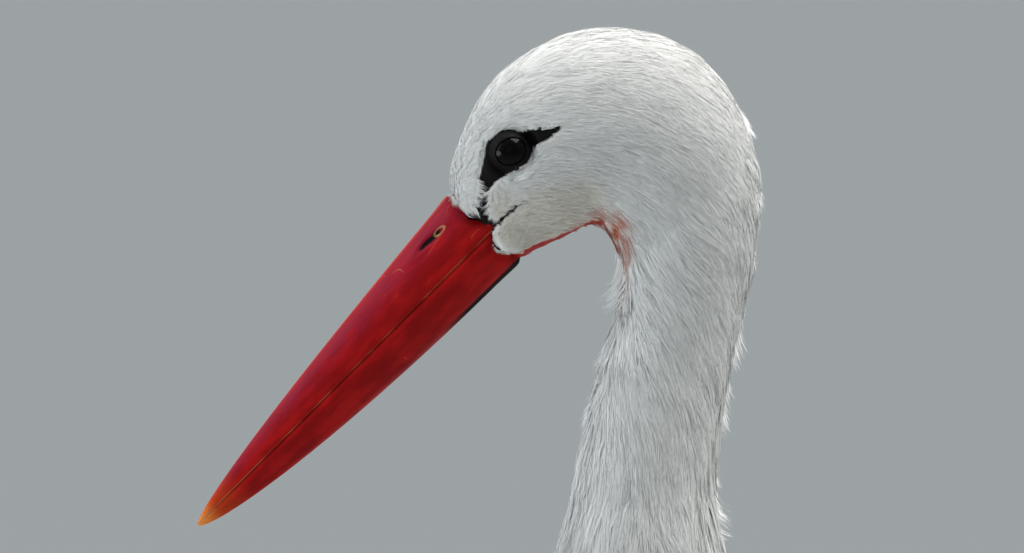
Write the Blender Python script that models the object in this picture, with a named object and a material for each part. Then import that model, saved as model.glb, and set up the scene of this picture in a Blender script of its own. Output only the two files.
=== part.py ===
"""A white stork standing at rest, life size, as a still museum model.

Metres, +Z up. The bill points to -X, the left side faces -Y, and the soles stand on z = 0.
The head, neck and trunk are one loft of oval sections, parted by thin plane cuts. The folded
wings, the tail and the feathered thighs are lofts too, each cut back from what it lies on. The
outlines are those of the plumage, out to the tips of the feathers.
"""
import math

import bmesh
import bpy
import numpy as np
from mathutils import Vector

# Driving dimensions of the bird.
SEAM = 0.0003                # the gap left between two pieces that touch
BILL_LENGTH = 0.163          # from the tip along the mouth line to the feathers
BILL_PITCH = math.radians(45.1)   # how far the mouth line points down
BILL_TIP = (-0.3269, 0.8223)      # x and z of the tip
CULMEN_HEIGHT = 0.0222       # of the upper half over the mouth line, at the feathers
GONYS_DEPTH = 0.0162         # of the lower half under it
BILL_HALF_WIDTH = 0.0128
EYE_CENTRE = (-0.2030, 0.0158, 0.9713)  # of the right eye; the left mirrors it
EYE_RADIUS = 0.0090
HIP = (-0.012, 0.500)        # x and z of the feathered thigh's upper end, inside the belly
LEG_SPREAD = 0.046           # from the middle plane to each leg
STEP = 0.020                 # how far the left foot stands ahead and the right one behind
FOOT_X = 0.016               # the tarsus above the foot, midway between the two feet
ANKLE_HEIGHT = 0.238
THIGH_END = 0.335            # height where the feathers of the thigh stop

# Faceting.
SIDES = 24                   # points round a section of the head, neck and trunk
RINGS_PER_SECTION = 3        # rings from one named section to the next

# Sections of the body from the bill to the tail: x and z of the back or crown, x and z of the
# throat or belly, and half the width. Each section is an oval in the plane through both points.
BODY_SECTIONS = {
    "bill base": (-0.2280, 0.9551, -0.1995, 0.9260, 0.0145),
    "brow": (-0.2262, 0.9689, -0.1931, 0.9307, 0.0180),
    "forehead": (-0.2089, 1.0005, -0.1805, 0.9358, 0.0243),
    "crown": (-0.1719, 1.0194, -0.1703, 0.9412, 0.0268),
    "hindcrown": (-0.1297, 1.0095, -0.1644, 0.9370, 0.0272),
    "nape": (-0.1061, 0.9709, -0.1608, 0.9268, 0.0262),
    "throat": (-0.1064, 0.9295, -0.1611, 0.9110, 0.0252),
    "upper neck": (-0.1163, 0.8834, -0.1695, 0.8824, 0.0246),
    "mid neck": (-0.1218, 0.8409, -0.1795, 0.8402, 0.0272),
    "hackles": (-0.1165, 0.8060, -0.1870, 0.8040, 0.0325),
    "neck root": (-0.0965, 0.7700, -0.1955, 0.7560, 0.0440),
    "shoulders": (-0.0580, 0.7360, -0.2040, 0.6960, 0.0600),
    "upper breast": (-0.0100, 0.7080, -0.2030, 0.6300, 0.0740),
    "breast": (0.0400, 0.6800, -0.1800, 0.5660, 0.0830),
    "keel": (0.0880, 0.6460, -0.1280, 0.5080, 0.0850),
    "belly": (0.1310, 0.6070, -0.0550, 0.4700, 0.0800),
    "flank": (0.1700, 0.5740, 0.0300, 0.4560, 0.0680),
    "vent": (0.2060, 0.5470, 0.1150, 0.4560, 0.0520),
    "rump": (0.2360, 0.5270, 0.1790, 0.4600, 0.0390),
    "tail base": (0.2600, 0.5110, 0.2200, 0.4640, 0.0300),
}
# Each node of the loft, the section where it ends, and how many rings it takes at a stride.
BODY_NODES = (
    ("head", "nape", 1),
    ("neck_upper", "mid neck", 1),
    ("neck_middle", "neck root", 1),
    ("neck_lower", "upper breast", 1),
    ("trunk", "tail base", 2),
)

# Edges of the folded wing as Bezier curves in the side view, from the wrist to the tip.
WING_TOP = ((-0.130, 0.668), (0.010, 0.752), (0.170, 0.612), (0.420, 0.412))
WING_BOTTOM = ((-0.145, 0.640), (-0.118, 0.515), (0.100, 0.452), (0.412, 0.404))
# The folded wing from its wrist to its tip: the distance from the middle plane of its upper
# edge, of its fullest part and of its lower edge, and how deep the wing is.
WING_WIDTHS = (
    (0.056, 0.070, 0.066, 0.040),
    (0.048, 0.093, 0.084, 0.060),
    (0.034, 0.101, 0.090, 0.060),
    (0.014, 0.099, 0.089, 0.050),
    (0.004, 0.090, 0.082, 0.034),
    (0.003, 0.073, 0.066, 0.020),
    (0.003, 0.047, 0.043, 0.012),
    (0.003, 0.026, 0.023, 0.008),
    (0.002, 0.011, 0.009, 0.004),
)
WING_STRIDE = 2              # stations from one row of widths to the next
WING_POINTS = 8              # across a wing section, on each of its two faces
# The planes that part the wing: a point in the side view, and the angle of the cut to vertical.
COVERTS_CUT = ((0.045, 0.575), math.radians(-38))
PRIMARIES_CUT = ((0.285, 0.470), math.radians(24))

TAIL_ROOT = (0.2430, 0.4960)
TAIL_TIP = (0.3860, 0.4030)


def clear_scene():
    for existing in list(bpy.data.objects):
        bpy.data.objects.remove(existing, do_unlink=True)


def material(name, colour, roughness):
    made = bpy.data.materials.new(name)
    made.use_nodes = True
    shader = made.node_tree.nodes["Principled BSDF"]
    shader.inputs["Base Color"].default_value = (*colour, 1.0)
    shader.inputs["Roughness"].default_value = roughness
    shader.inputs["Metallic"].default_value = 0.0
    return made


def through(rows, steps):
    """A Catmull-Rom curve through the rows, with this many steps from each row to the next."""
    rows = np.array(rows, float)
    padded = np.vstack([2 * rows[0] - rows[1], rows, 2 * rows[-1] - rows[-2]])
    found = []
    for before, start, end, after in zip(padded, padded[1:], padded[2:], padded[3:]):
        for step in range(steps):
            t = step / steps
            found.append(
                0.5 * (2 * start + (end - before) * t
                       + (2 * before - 5 * start + 4 * end - after) * t ** 2
                       + (3 * start - before - 3 * end + after) * t ** 3)
            )
    found.append(rows[-1])
    return np.array(found)


def bezier(corners, t):
    """The point at t of a cubic Bezier curve."""
    a, b, c, d = (np.array(corner, float) for corner in corners)
    return (1 - t) ** 3 * a + 3 * (1 - t) ** 2 * t * b + 3 * (1 - t) * t ** 2 * c + t ** 3 * d


def finish(bm, name, finish_material):
    """Makes the closed mesh in bm an object, with its faces pointing out and shaded smooth.

    It is all triangles, so that a grown copy of it folds along the same edges."""
    bmesh.ops.recalc_face_normals(bm, faces=bm.faces)
    bmesh.ops.triangulate(bm, faces=bm.faces)
    mesh = bpy.data.meshes.new(name)
    bm.to_mesh(mesh)
    bm.free()
    mesh.shade_smooth()
    mesh.set_sharp_from_angle(angle=math.radians(40))
    mesh.materials.append(finish_material)
    made = bpy.data.objects.new(name, mesh)
    bpy.context.scene.collection.objects.link(made)
    return made


def loft(name, rings, finish_material, pointed_start=None, pointed_end=None):
    """A closed solid over rings of points. An end is a flat cap, or runs to a point."""
    bm = bmesh.new()
    loops = [[bm.verts.new(point) for point in ring] for ring in rings]
    count = len(loops[0])
    for one, two in zip(loops, loops[1:]):
        for i in range(count):
            bm.faces.new((one[i], one[(i + 1) % count], two[(i + 1) % count], two[i]))
    for loop, point in ((loops[0], pointed_start), (loops[-1], pointed_end)):
        if point is None:
            bm.faces.new(loop)
            continue
        tip = bm.verts.new(point)
        for i in range(count):
            bm.faces.new((loop[i], loop[(i + 1) % count], tip))
    return finish(bm, name, finish_material)


def mesh_now(obj):
    """The object's mesh with its modifiers applied."""
    bpy.context.view_layer.update()
    graph = bpy.context.evaluated_depsgraph_get()
    return bpy.data.meshes.new_from_object(obj.evaluated_get(graph))


def largest_body(mesh):
    """Drops the loose slivers that a cut leaves beside the piece itself."""
    bm = bmesh.new()
    bm.from_mesh(mesh)
    bmesh.ops.remove_doubles(bm, verts=bm.verts, dist=1e-6)
    waiting, bodies = set(bm.faces), []
    while waiting:
        found, edge_of_search = set(), [waiting.pop()]
        while edge_of_search:
            face = edge_of_search.pop()
            found.add(face)
            for edge in face.edges:
                for other in edge.link_faces:
                    if other in waiting:
                        waiting.discard(other)
                        edge_of_search.append(other)
        bodies.append(found)
    kept = max(bodies, key=lambda faces: sum(face.calc_area() for face in faces))
    bmesh.ops.delete(bm, geom=[face for face in bm.faces if face not in kept], context="FACES")
    bm.to_mesh(mesh)
    bm.free()
    return mesh


def inflated(obj, by):
    """A copy of the object grown by this much along its normals, to cut with."""
    grown = bpy.data.objects.new(obj.name + "_cutter", mesh_now(obj))
    bpy.context.scene.collection.objects.link(grown)
    bm = bmesh.new()
    bm.from_mesh(grown.data)
    bmesh.ops.remove_doubles(bm, verts=bm.verts, dist=1e-5)
    bm.normal_update()
    places = [vertex.co + vertex.normal * by * vertex.calc_shell_factor() for vertex in bm.verts]
    for vertex, place in zip(bm.verts, places):
        vertex.co = place
    bm.to_mesh(grown.data)
    bm.free()
    return grown


def cut(obj, cutter):
    """Takes the cutter's space out of the object, for good, and removes the cutter."""
    difference = obj.modifiers.new("cut", "BOOLEAN")
    difference.operation = "DIFFERENCE"
    difference.object = cutter
    whole = largest_body(mesh_now(obj))
    obj.modifiers.clear()
    obj.data = whole
    bpy.data.objects.remove(cutter, do_unlink=True)
    return obj


def cut_by(obj, *neighbours):
    """Cuts the object back from its neighbours, with the seam's gap."""
    for neighbour in neighbours:
        cut(obj, inflated(neighbour, 1.3 * SEAM))
    return obj


def half_space(point, angle, ahead, reach=0.6):
    """A large box that fills one side of a plane which is upright across the bird.

    The plane passes half a seam from the point, turned by angle from the vertical."""
    side = -1 if ahead else 1
    middle = Vector((side * (reach - SEAM / 2), 0, 0))
    bm = bmesh.new()
    bmesh.ops.create_cube(bm, size=2 * reach)
    for vertex in bm.verts:
        place = vertex.co + middle
        vertex.co = (
            point[0] + place.x * math.cos(angle) - place.z * math.sin(angle),
            place.y,
            point[1] + place.x * math.sin(angle) + place.z * math.cos(angle),
        )
    return finish(bm, "half_space", bpy.data.materials[0])


def copy_of(obj, name):
    made = bpy.data.objects.new(name, mesh_now(obj))
    bpy.context.scene.collection.objects.link(made)
    return made


def body_ring(section, shift=0.0):
    """The oval of one section, moved by shift along the body."""
    back = np.array((section[0], 0, section[1]))
    front = np.array((section[2], 0, section[3]))
    middle, up = (back + front) / 2, (back - front) / 2
    along = np.cross((0, 1, 0), up)
    along /= np.linalg.norm(along)
    ring = []
    for i in range(SIDES):
        turn = 2 * math.pi * i / SIDES
        side = (0, section[4] * math.sin(turn), 0)
        ring.append(middle + up * math.cos(turn) + side + along * shift)
    return ring


def body(feathers):
    """The head, neck and trunk, as one loft parted at its named sections."""
    names = list(BODY_SECTIONS)
    curve = through(list(BODY_SECTIONS.values()), RINGS_PER_SECTION)
    made, start = {}, 0
    for node, last, stride in BODY_NODES:
        end = names.index(last) * RINGS_PER_SECTION
        inner = [body_ring(section) for section in curve[start + stride:end:stride]]
        first = body_ring(curve[start], SEAM / 2)
        final = body_ring(curve[end], -SEAM / 2)
        made[node] = loft(node, [first, *inner, final], feathers)
        start = end
    return made


def bill_point(along, height, side):
    """A point by its distance from the tip, its height over the mouth line and its side."""
    cos, sin = math.cos(BILL_PITCH), math.sin(BILL_PITCH)
    return (
        BILL_TIP[0] + along * cos - height * sin,
        side,
        BILL_TIP[1] + along * sin + height * cos,
    )


def bill_half(name, upper, horn):
    """The upper or lower half of the bill, a dagger with a flat face along the mouth line."""
    across, stations = 10, 14
    rings = []
    for station in range(1, stations + 1):
        share = (station / stations) ** 1.25
        half_width = BILL_HALF_WIDTH * share ** 0.72
        if upper:
            height = CULMEN_HEIGHT * share ** 0.66
        else:
            height = -GONYS_DEPTH * (1 - (1 - share) ** 2.0) ** 0.62
        sign = math.copysign(1, height)
        ring = []
        for i in range(across + 1):
            turn = math.pi * i / across
            side = half_width * math.copysign(abs(math.cos(turn)) ** 1.2, math.cos(turn))
            rise = height * math.sin(turn) + sign * SEAM / 2
            ring.append(bill_point(share * BILL_LENGTH - SEAM / 2, rise, side))
        rings.append(ring)
    tip = bill_point(0.0005, math.copysign(SEAM, height), 0)
    return loft(name, rings, horn, pointed_start=tip)


def ellipsoid(name, centre, radii, finish_material, segments=14, rings=9, tilt=0.0):
    """A ball stretched to three radii, then turned by tilt in the side view."""
    bm = bmesh.new()
    bmesh.ops.create_uvsphere(bm, u_segments=segments, v_segments=rings, radius=1)
    for vertex in bm.verts:
        x, y, z = (c * r for c, r in zip(vertex.co, radii))
        vertex.co = (
            centre[0] + x * math.cos(tilt) - z * math.sin(tilt),
            centre[1] + y,
            centre[2] + x * math.sin(tilt) + z * math.cos(tilt),
        )
    return finish(bm, name, finish_material)


def nostrils(upper_bill, horn):
    """A slit sunk into each side of the upper half of the bill, near the feathers."""
    for side in (-1, 1):
        centre = bill_point(0.858 * BILL_LENGTH, 0.50 * CULMEN_HEIGHT, side * 0.0108)
        slit = ellipsoid("slit", centre, (0.0064, 0.0032, 0.0011), horn, 12, 8, BILL_PITCH)
        cut(upper_bill, slit)


def eyes(head, cornea):
    """Two eyeballs, each in a socket cut in the head, with the lids' opening outermost."""
    for side, name in ((1, "eye_right"), (-1, "eye_left")):
        centre = (EYE_CENTRE[0], side * EYE_CENTRE[1], EYE_CENTRE[2])
        eye = ellipsoid(name, centre, (EYE_RADIUS,) * 3, cornea)
        cut_by(head, eye)


def wing_ring(t, widths, side):
    """A section of a folded wing: a lens from its upper edge to its lower one."""
    top, bottom = bezier(WING_TOP, t), bezier(WING_BOTTOM, t)
    top_side, fullest, bottom_side, depth = widths
    bulge = fullest - (top_side + bottom_side) / 2
    outer, inner = [], []
    for i in range(WING_POINTS + 1):
        s = i / WING_POINTS
        place = top + (bottom - top) * s
        arch = math.sin(math.pi * s)
        out = top_side + (bottom_side - top_side) * s + bulge * arch ** 0.7
        inward = depth * min(1.0, 0.25 + 1.2 * arch)
        outer.append((place[0], side * out, place[1]))
        inner.append((place[0], side * max(out - inward, SEAM / 2), place[1]))
    return outer + inner[::-1]


def wing(side, word, covered, coverts, flights):
    """A folded wing, cut back from what it covers and parted into three pieces."""
    widths = through(WING_WIDTHS, WING_STRIDE)
    stations = [wing_ring(0.004 + 0.986 * i / (len(widths) - 1), row, side)
                for i, row in enumerate(widths)]
    tip = (WING_TOP[-1][0] + 0.004, side * 0.0085, (WING_TOP[-1][1] + WING_BOTTOM[-1][1]) / 2)
    whole = loft(f"wing_{word}_secondaries", stations, flights, pointed_end=tip)
    cut_by(whole, *covered)
    arm = copy_of(whole, f"wing_{word}_coverts")
    hand = copy_of(whole, f"wing_{word}_primaries")
    cut(arm, half_space(*COVERTS_CUT, ahead=False))
    arm.data.materials[0] = coverts
    cut(hand, half_space(*PRIMARIES_CUT, ahead=True))
    cut(whole, half_space(*COVERTS_CUT, ahead=True))
    cut(whole, half_space(*PRIMARIES_CUT, ahead=False))


def tail_fan(feathers):
    """The tail, a shallow fan under the folded wings."""
    root, tip = np.array(TAIL_ROOT), np.array(TAIL_TIP)
    along = (tip - root) / np.linalg.norm(tip - root)
    up = np.array((-along[1], along[0]))
    points, rings = 9, []
    for share in (0.0, 0.12, 0.3, 0.5, 0.7, 0.88, 0.97, 1.0):
        end = max(0.0, (share - 0.88) / 0.12)
        half_width = (0.024 + 0.031 * share) * (1 - 0.16 * end ** 2)
        thick = 0.0022 + 0.020 * (1 - share) ** 1.6
        upper, lower = [], []
        for i in range(points):
            side = -1 + 2 * i / (points - 1)
            sag = 0.010 * side ** 2
            middle = root + (tip - root) * share - along * 0.014 * end * side ** 2
            body_of_fan = thick * (1 - 0.75 * side ** 4)
            high, low = middle + up * (body_of_fan - sag), middle - up * (body_of_fan + sag)
            upper.append((high[0], side * half_width, high[1]))
            lower.append((low[0], side * half_width, low[1]))
        rings.append(upper + lower[::-1])
    return loft("tail", rings, feathers)


def tube(name, centres, radii, finish_material, sides=12):
    """A limb: ovals round a line of centres, each with a fore-and-aft and a sideways radius."""
    rings = []
    for (x, y, z), (fore, side) in zip(centres, radii):
        rings.append([
            (x + fore * math.cos(2 * math.pi * i / sides),
             y + side * math.sin(2 * math.pi * i / sides), z)
            for i in range(sides)
        ])
    return loft(name, rings, finish_material)


def leg_line(step, side, height):
    """The middle of the leg at a height: the ankle stands a little behind hip and foot."""
    foot = (FOOT_X + step, 0.0)
    ankle = (foot[0] + 0.012 - 0.25 * step, ANKLE_HEIGHT)
    low, high = (foot, ankle) if height < ANKLE_HEIGHT else (ankle, HIP)
    share = (height - low[1]) / (high[1] - low[1])
    return (low[0] + (high[0] - low[0]) * share, side * LEG_SPREAD, height)


def leg(side, word, trunk, feathers, scales):
    """The feathered thigh, the bare shank, and the tarsus with the ankle on top."""
    step = STEP * side
    heights = (0.505, 0.470, 0.435, 0.405, 0.380, 0.358, THIGH_END)
    radii = ((0.045, 0.027), (0.045, 0.028), (0.039, 0.0265), (0.031, 0.0235),
             (0.024, 0.0195), (0.0175, 0.0150), (0.0115, 0.0105))
    centres = [leg_line(step, side, height) for height in heights]
    thigh = tube(f"thigh_{word}", centres, radii, feathers, sides=18)
    cut_by(thigh, trunk)

    heights = (THIGH_END - SEAM, 0.315, 0.285, 0.262, ANKLE_HEIGHT + 0.011)
    radii = ((0.0072, 0.0064), (0.0068, 0.0060), (0.0068, 0.0060), (0.0078, 0.0066),
             (0.0098, 0.0080))
    centres = [leg_line(step, side, height) for height in heights]
    tube(f"shank_{word}", centres, radii, scales)

    heights = (ANKLE_HEIGHT + 0.0107, ANKLE_HEIGHT + 0.004, ANKLE_HEIGHT - 0.006,
               ANKLE_HEIGHT - 0.018, 0.195, 0.130, 0.060, 0.035, 0.016)
    radii = ((0.0100, 0.0082), (0.0116, 0.0098), (0.0112, 0.0096), (0.0080, 0.0068),
             (0.0062, 0.0052), (0.0058, 0.0048), (0.0062, 0.0054), (0.0074, 0.0066),
             (0.0088, 0.0080))
    centres = [leg_line(step, side, height) for height in heights]
    tarsus = tube(f"tarsus_{word}", centres, radii, scales)
    foot(step, side, word, tarsus, scales)
    return thigh


def foot(step, side, word, tarsus, scales):
    """The pad with the webs between the toes' bases, four toes, and a blunt claw on each."""
    heel = (FOOT_X + step, side * LEG_SPREAD)
    pad = ellipsoid(f"foot_{word}", (heel[0] - 0.006, heel[1], 0.0046),
                    (0.0165, 0.0130, 0.0125), scales, 12, 8)
    flatten(pad)
    cut_by(tarsus, pad)
    # Each toe: its turn outwards from straight ahead, its length and its half width.
    toes = {
        "inner": (-38, 0.060, 0.0056),
        "middle": (2, 0.079, 0.0062),
        "outer": (40, 0.066, 0.0057),
        "hind": (172, 0.036, 0.0050),
    }
    for toe_name, (turn, length, half_width) in toes.items():
        angle = math.radians(turn) * side
        forward = np.array((-math.cos(angle), math.sin(angle)))
        across = np.array((-forward[1], forward[0]))
        joints = 3 if toe_name != "hind" else 2
        rings = []
        for share in np.linspace(0.0, 1.0, 2 * joints + 2):
            swell = 1 + 0.10 * math.cos(2 * math.pi * joints * share)
            wide = half_width * (1 - 0.30 * share) * swell
            tall = 1.45 * half_width * (1 - 0.34 * share) * swell
            place = np.array(heel) + forward * share * length
            rings.append(flat_oval(place, across, wide, tall))
        toe = loft(f"toe_{word}_{toe_name}", rings, scales)
        cut_by(toe, pad)
        claw(f"claw_{word}_{toe_name}", np.array(heel) + forward * length, forward, across,
             half_width)


def flat_oval(place, across, wide, tall, lift=0.0):
    """A toe's section: round over its top and sides, flat where it stands."""
    ring = []
    for i in range(8):
        turn = 2 * math.pi * (i + 0.5) / 8
        out = across * wide * math.cos(turn)
        rise = max(0.0, tall * (0.42 + 0.58 * math.sin(turn)))
        ring.append((place[0] + out[0], place[1] + out[1], rise + lift))
    return ring


def claw(name, root, forward, across, toe_half_width):
    """A short, broad claw like a nail, at the end of a toe."""
    rings = []
    for ahead, wide, tall in ((SEAM, 0.62, 0.78), (0.0035, 0.58, 0.66), (0.0065, 0.44, 0.44)):
        place = root + forward * ahead
        rings.append(flat_oval(place, across, wide * toe_half_width, tall * toe_half_width,
                               lift=0.0006))
    tip = root + forward * 0.0092
    horn = bpy.data.materials["claw_horn"]
    return loft(name, rings, horn, pointed_end=(tip[0], tip[1], 0.0010))


def flatten(obj):
    """Presses all that is under the floor up to it, which leaves a flat sole."""
    for vertex in obj.data.vertices:
        vertex.co.z = max(vertex.co.z, 0.0)


def settle_origin():
    """Puts the origin under the middle of the bird's box."""
    nodes = [obj for obj in bpy.context.scene.objects if obj.type == "MESH"]
    xs = [vertex.co.x for obj in nodes for vertex in obj.data.vertices]
    middle = (min(xs) + max(xs)) / 2
    for obj in nodes:
        for vertex in obj.data.vertices:
            vertex.co.x -= middle


def main():
    clear_scene()
    plumage = material("white_plumage", (0.80, 0.80, 0.77), 0.85)
    flight = material("black_plumage", (0.018, 0.017, 0.020), 0.55)
    red_horn = material("red_horn", (0.38, 0.025, 0.015), 0.38)
    red_scales = material("red_scales", (0.42, 0.045, 0.022), 0.60)
    material("claw_horn", (0.06, 0.035, 0.03), 0.50)
    cornea = material("eye_dark", (0.015, 0.012, 0.010), 0.08)

    parts = body(plumage)
    eyes(parts["head"], cornea)
    upper = bill_half("bill_upper", True, red_horn)
    nostrils(upper, red_horn)
    bill_half("bill_lower", False, red_horn)
    tail = tail_fan(plumage)
    cut_by(tail, parts["trunk"])
    covered = (parts["neck_lower"], parts["trunk"], tail)
    for side, word in ((-1, "left"), (1, "right")):
        thigh = leg(side, word, parts["trunk"], plumage, red_scales)
        wing(side, word, (*covered, thigh), plumage, flight)
    settle_origin()


main()
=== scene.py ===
import math

import bmesh
import bpy
import numpy as np
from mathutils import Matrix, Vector
from mathutils.bvhtree import BVHTree


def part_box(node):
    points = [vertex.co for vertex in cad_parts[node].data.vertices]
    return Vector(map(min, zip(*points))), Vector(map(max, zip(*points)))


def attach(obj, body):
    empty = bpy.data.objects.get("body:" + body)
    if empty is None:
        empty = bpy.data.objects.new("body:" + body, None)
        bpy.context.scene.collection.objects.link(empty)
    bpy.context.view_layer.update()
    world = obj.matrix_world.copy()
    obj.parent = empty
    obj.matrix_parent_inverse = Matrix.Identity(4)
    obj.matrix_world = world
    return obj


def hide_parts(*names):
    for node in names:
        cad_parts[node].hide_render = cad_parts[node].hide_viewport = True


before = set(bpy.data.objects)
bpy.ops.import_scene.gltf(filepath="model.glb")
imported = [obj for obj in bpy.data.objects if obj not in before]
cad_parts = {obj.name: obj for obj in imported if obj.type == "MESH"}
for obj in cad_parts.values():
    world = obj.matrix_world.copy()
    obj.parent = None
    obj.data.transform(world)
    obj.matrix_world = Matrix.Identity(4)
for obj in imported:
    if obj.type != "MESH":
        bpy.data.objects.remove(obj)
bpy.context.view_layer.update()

# ----------------------------------------
# The studio. The bird stands on a wide pale floor under one large soft light above and
# behind it, which leaves its near side in a soft cool shade, with the rim of the nape lit.
# Weaker lights lift the front of the neck and the throat from ahead and from below.
# ----------------------------------------
SIDES = {"left": -1, "right": 1}      # the bird's sides, and the sign of each along Y
eye_spots = {side: sum(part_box(f"eye_{side}"), Vector()) / 2 for side in SIDES}
left_eye = eye_spots["left"]
VIEW_WIDTH = 0.4035          # metres across the view at the bird
VIEW_DISTANCE = 4.0
VIEW_ELEVATION = math.radians(3)
VIEW_BELOW_EYE = 0.0502      # the middle of the view is this far under the eye
SENSOR_WIDTH = 36            # millimetres
FLOOR_SIZE = 160.0


def aimed(location, target):
    """The turn that points a light or a camera at its target."""
    return (Vector(target) - Vector(location)).to_track_quat("-Z", "Y").to_euler()


def principled(name, **values):
    """A new material and its Principled shader, with these values set on its sockets."""
    made = bpy.data.materials.new(name)
    made.use_nodes = True
    shader = made.node_tree.nodes["Principled BSDF"]
    for socket, value in values.items():
        shader.inputs[socket.replace("_", " ")].default_value = value
    return made, shader


def shader_node(tree, kind, **settings):
    """A new shader node with its properties, and its inputs by name, set."""
    made = tree.nodes.new(kind)
    for key, value in settings.items():
        if hasattr(made, key):
            setattr(made, key, value)
        else:
            made.inputs[key.replace("_", " ")].default_value = value
    return made


def lamp(name, kind, location, target, power, colour, **settings):
    """A light of this kind at a place, aimed at a target, that the camera doesn't see."""
    bpy.ops.object.light_add(type=kind, location=location, rotation=aimed(location, target))
    light = bpy.context.object
    light.name = name
    light.data.energy = power
    light.data.color = colour
    for key, value in settings.items():
        setattr(light.data, key, value)
    light.visible_camera = False


bpy.ops.object.select_all(action="DESELECT")
bpy.ops.mesh.primitive_plane_add(size=FLOOR_SIZE, location=(0, 0, 0))
floor = bpy.context.object
floor.name = "studio_floor"
floor_paint, _ = principled("floor_paint", Base_Color=(0.563, 0.58, 0.58, 1), Roughness=0.9)
floor.data.materials.append(floor_paint)

head_middle = (left_eye.x + 0.03, 0, left_eye.z)
neck_front = (left_eye.x + 0.07, 0, left_eye.z - 0.12)
throat_front = (left_eye.x + 0.06, 0, left_eye.z - 0.08)
lamp("key_above", "AREA", (0.38, -0.16, 2.70), head_middle, 50, (1.0, 0.99, 0.97), size=1.2)
lamp("rim_behind", "AREA", (1.9, 0.7, 1.5), head_middle, 6, (1.0, 0.98, 0.94), size=1.0)
lamp("rim_ahead", "AREA", (-1.3, 0.06, 1.35), neck_front, 4, (0.88, 0.94, 1.0), size=0.9)
lamp("throat_light", "SPOT", (-1.35, -0.22, 0.70), throat_front, 34, (0.84, 0.92, 1.0),
     spot_size=math.radians(32), spot_blend=1.0, shadow_soft_size=0.30)
lamp("front_fill", "AREA", (-1.2, -3.0, 1.9), (0, 0, 0.6), 5, (0.90, 0.95, 1.0), size=2.4)
lamp("ceiling_wash", "SUN", (-0.15, 0.20, 1.0), (0, 0, 0), 0.72, (1.0, 1.0, 1.0),
     angle=math.radians(50))
world = bpy.data.worlds.new("studio_air")
bpy.context.scene.world = world
world.use_nodes = True
world.node_tree.nodes["Background"].inputs["Color"].default_value = (0.87, 0.955, 1.0, 1)
world.node_tree.nodes["Background"].inputs["Strength"].default_value = 0.40
bpy.context.scene.view_settings.view_transform = "Standard"

look_at = Vector((left_eye.x + 0.0004, 0, left_eye.z - VIEW_BELOW_EYE))
back = Vector((0, -math.cos(VIEW_ELEVATION), math.sin(VIEW_ELEVATION)))
stand_at = look_at + back * VIEW_DISTANCE
bpy.ops.object.camera_add(location=stand_at, rotation=aimed(stand_at, look_at))
camera = bpy.context.object
camera.data.sensor_width = SENSOR_WIDTH
camera.data.lens = SENSOR_WIDTH * VIEW_DISTANCE / VIEW_WIDTH
camera.data.clip_end = 200
bpy.context.scene.camera = camera

# ----------------------------------------
# The skin. One closed hide over the head, neck, trunk, folded wings and legs, sunk under
# the outline of the plumage by the depth of the coat, and bare on the face and legs.
# ----------------------------------------
TOES = ("inner", "middle", "outer", "hind")
BODY_NODES = ["head", "neck_upper", "neck_middle", "neck_lower", "trunk"]
THIGH_NODES = [f"thigh_{side}" for side in SIDES]
ARM_NODES = [f"wing_{side}_{part}" for side in SIDES for part in ("coverts", "secondaries")]
LEG_NODES = [f"{part}_{side}" for side in SIDES for part in ("shank", "tarsus", "foot")]
LEG_NODES += [f"toe_{side}_{toe}" for side in SIDES for toe in TOES]
EYE_NODES = [f"eye_{side}" for side in SIDES]
FLESH_NODES = BODY_NODES + THIGH_NODES + ARM_NODES + LEG_NODES
SKIN_GRAIN = 0.0034          # size of the skin's faces before the face and legs are refined
OVERLAP = 0.0005             # how far copies of the solids grow, to close over their seams
COAT_DEPTH = {"head": 0.0012, "neck_upper": 0.0023, "neck_middle": 0.0036,
              "neck_lower": 0.0050, "trunk": 0.0045, "thigh": 0.0045, "wing": 0.0035,
              "eye": 0.0012}


def merged_copy(name, grow):
    """The triangles of a CAD node, merged, and grown along their normals."""
    bm = bmesh.new()
    bm.from_mesh(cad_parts[name].data)
    bmesh.ops.remove_doubles(bm, verts=bm.verts, dist=1e-5)
    bm.normal_update()
    places = [v.co + v.normal * grow * min(v.calc_shell_factor(), 1.6) for v in bm.verts]
    for vertex, place in zip(bm.verts, places):
        vertex.co = place
    return bm


def joined_copy(name, nodes, grow):
    """One new object that holds grown copies of these CAD nodes."""
    mesh = bpy.data.meshes.new(name)
    whole = bmesh.new()
    for node in nodes:
        bm = merged_copy(node, grow)
        bm.to_mesh(mesh)
        bm.free()
        whole.from_mesh(mesh)
    whole.to_mesh(mesh)
    whole.free()
    made = bpy.data.objects.new(name, mesh)
    bpy.context.scene.collection.objects.link(made)
    return made


def select_only(obj):
    bpy.ops.object.select_all(action="DESELECT")
    obj.select_set(True)
    bpy.context.view_layer.objects.active = obj


def apply_modifier(obj, kind, **settings):
    """Adds one modifier to the object and applies it."""
    select_only(obj)
    modifier = obj.modifiers.new(kind.lower(), kind)
    for key, value in settings.items():
        setattr(modifier, key, value)
    bpy.ops.object.modifier_apply(modifier=modifier.name)


def read_all(items, what, width, kind=float):
    """One property of all the vertices, edges or triangles of a mesh, as an array."""
    found = np.empty(len(items) * width, kind)
    items.foreach_get(what, found)
    return found.reshape(-1, width)


def places_of(mesh):
    return read_all(mesh.vertices, "co", 3)


def normals_of(mesh):
    return read_all(mesh.vertices, "normal", 3)


def set_places(mesh, places):
    mesh.vertices.foreach_set("co", np.asarray(places, float).ravel())
    mesh.update()


def edges_of(mesh):
    return read_all(mesh.edges, "vertices", 2, int)


def unit(vectors):
    return vectors / np.maximum(np.linalg.norm(vectors, axis=-1, keepdims=True), 1e-12)


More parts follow.
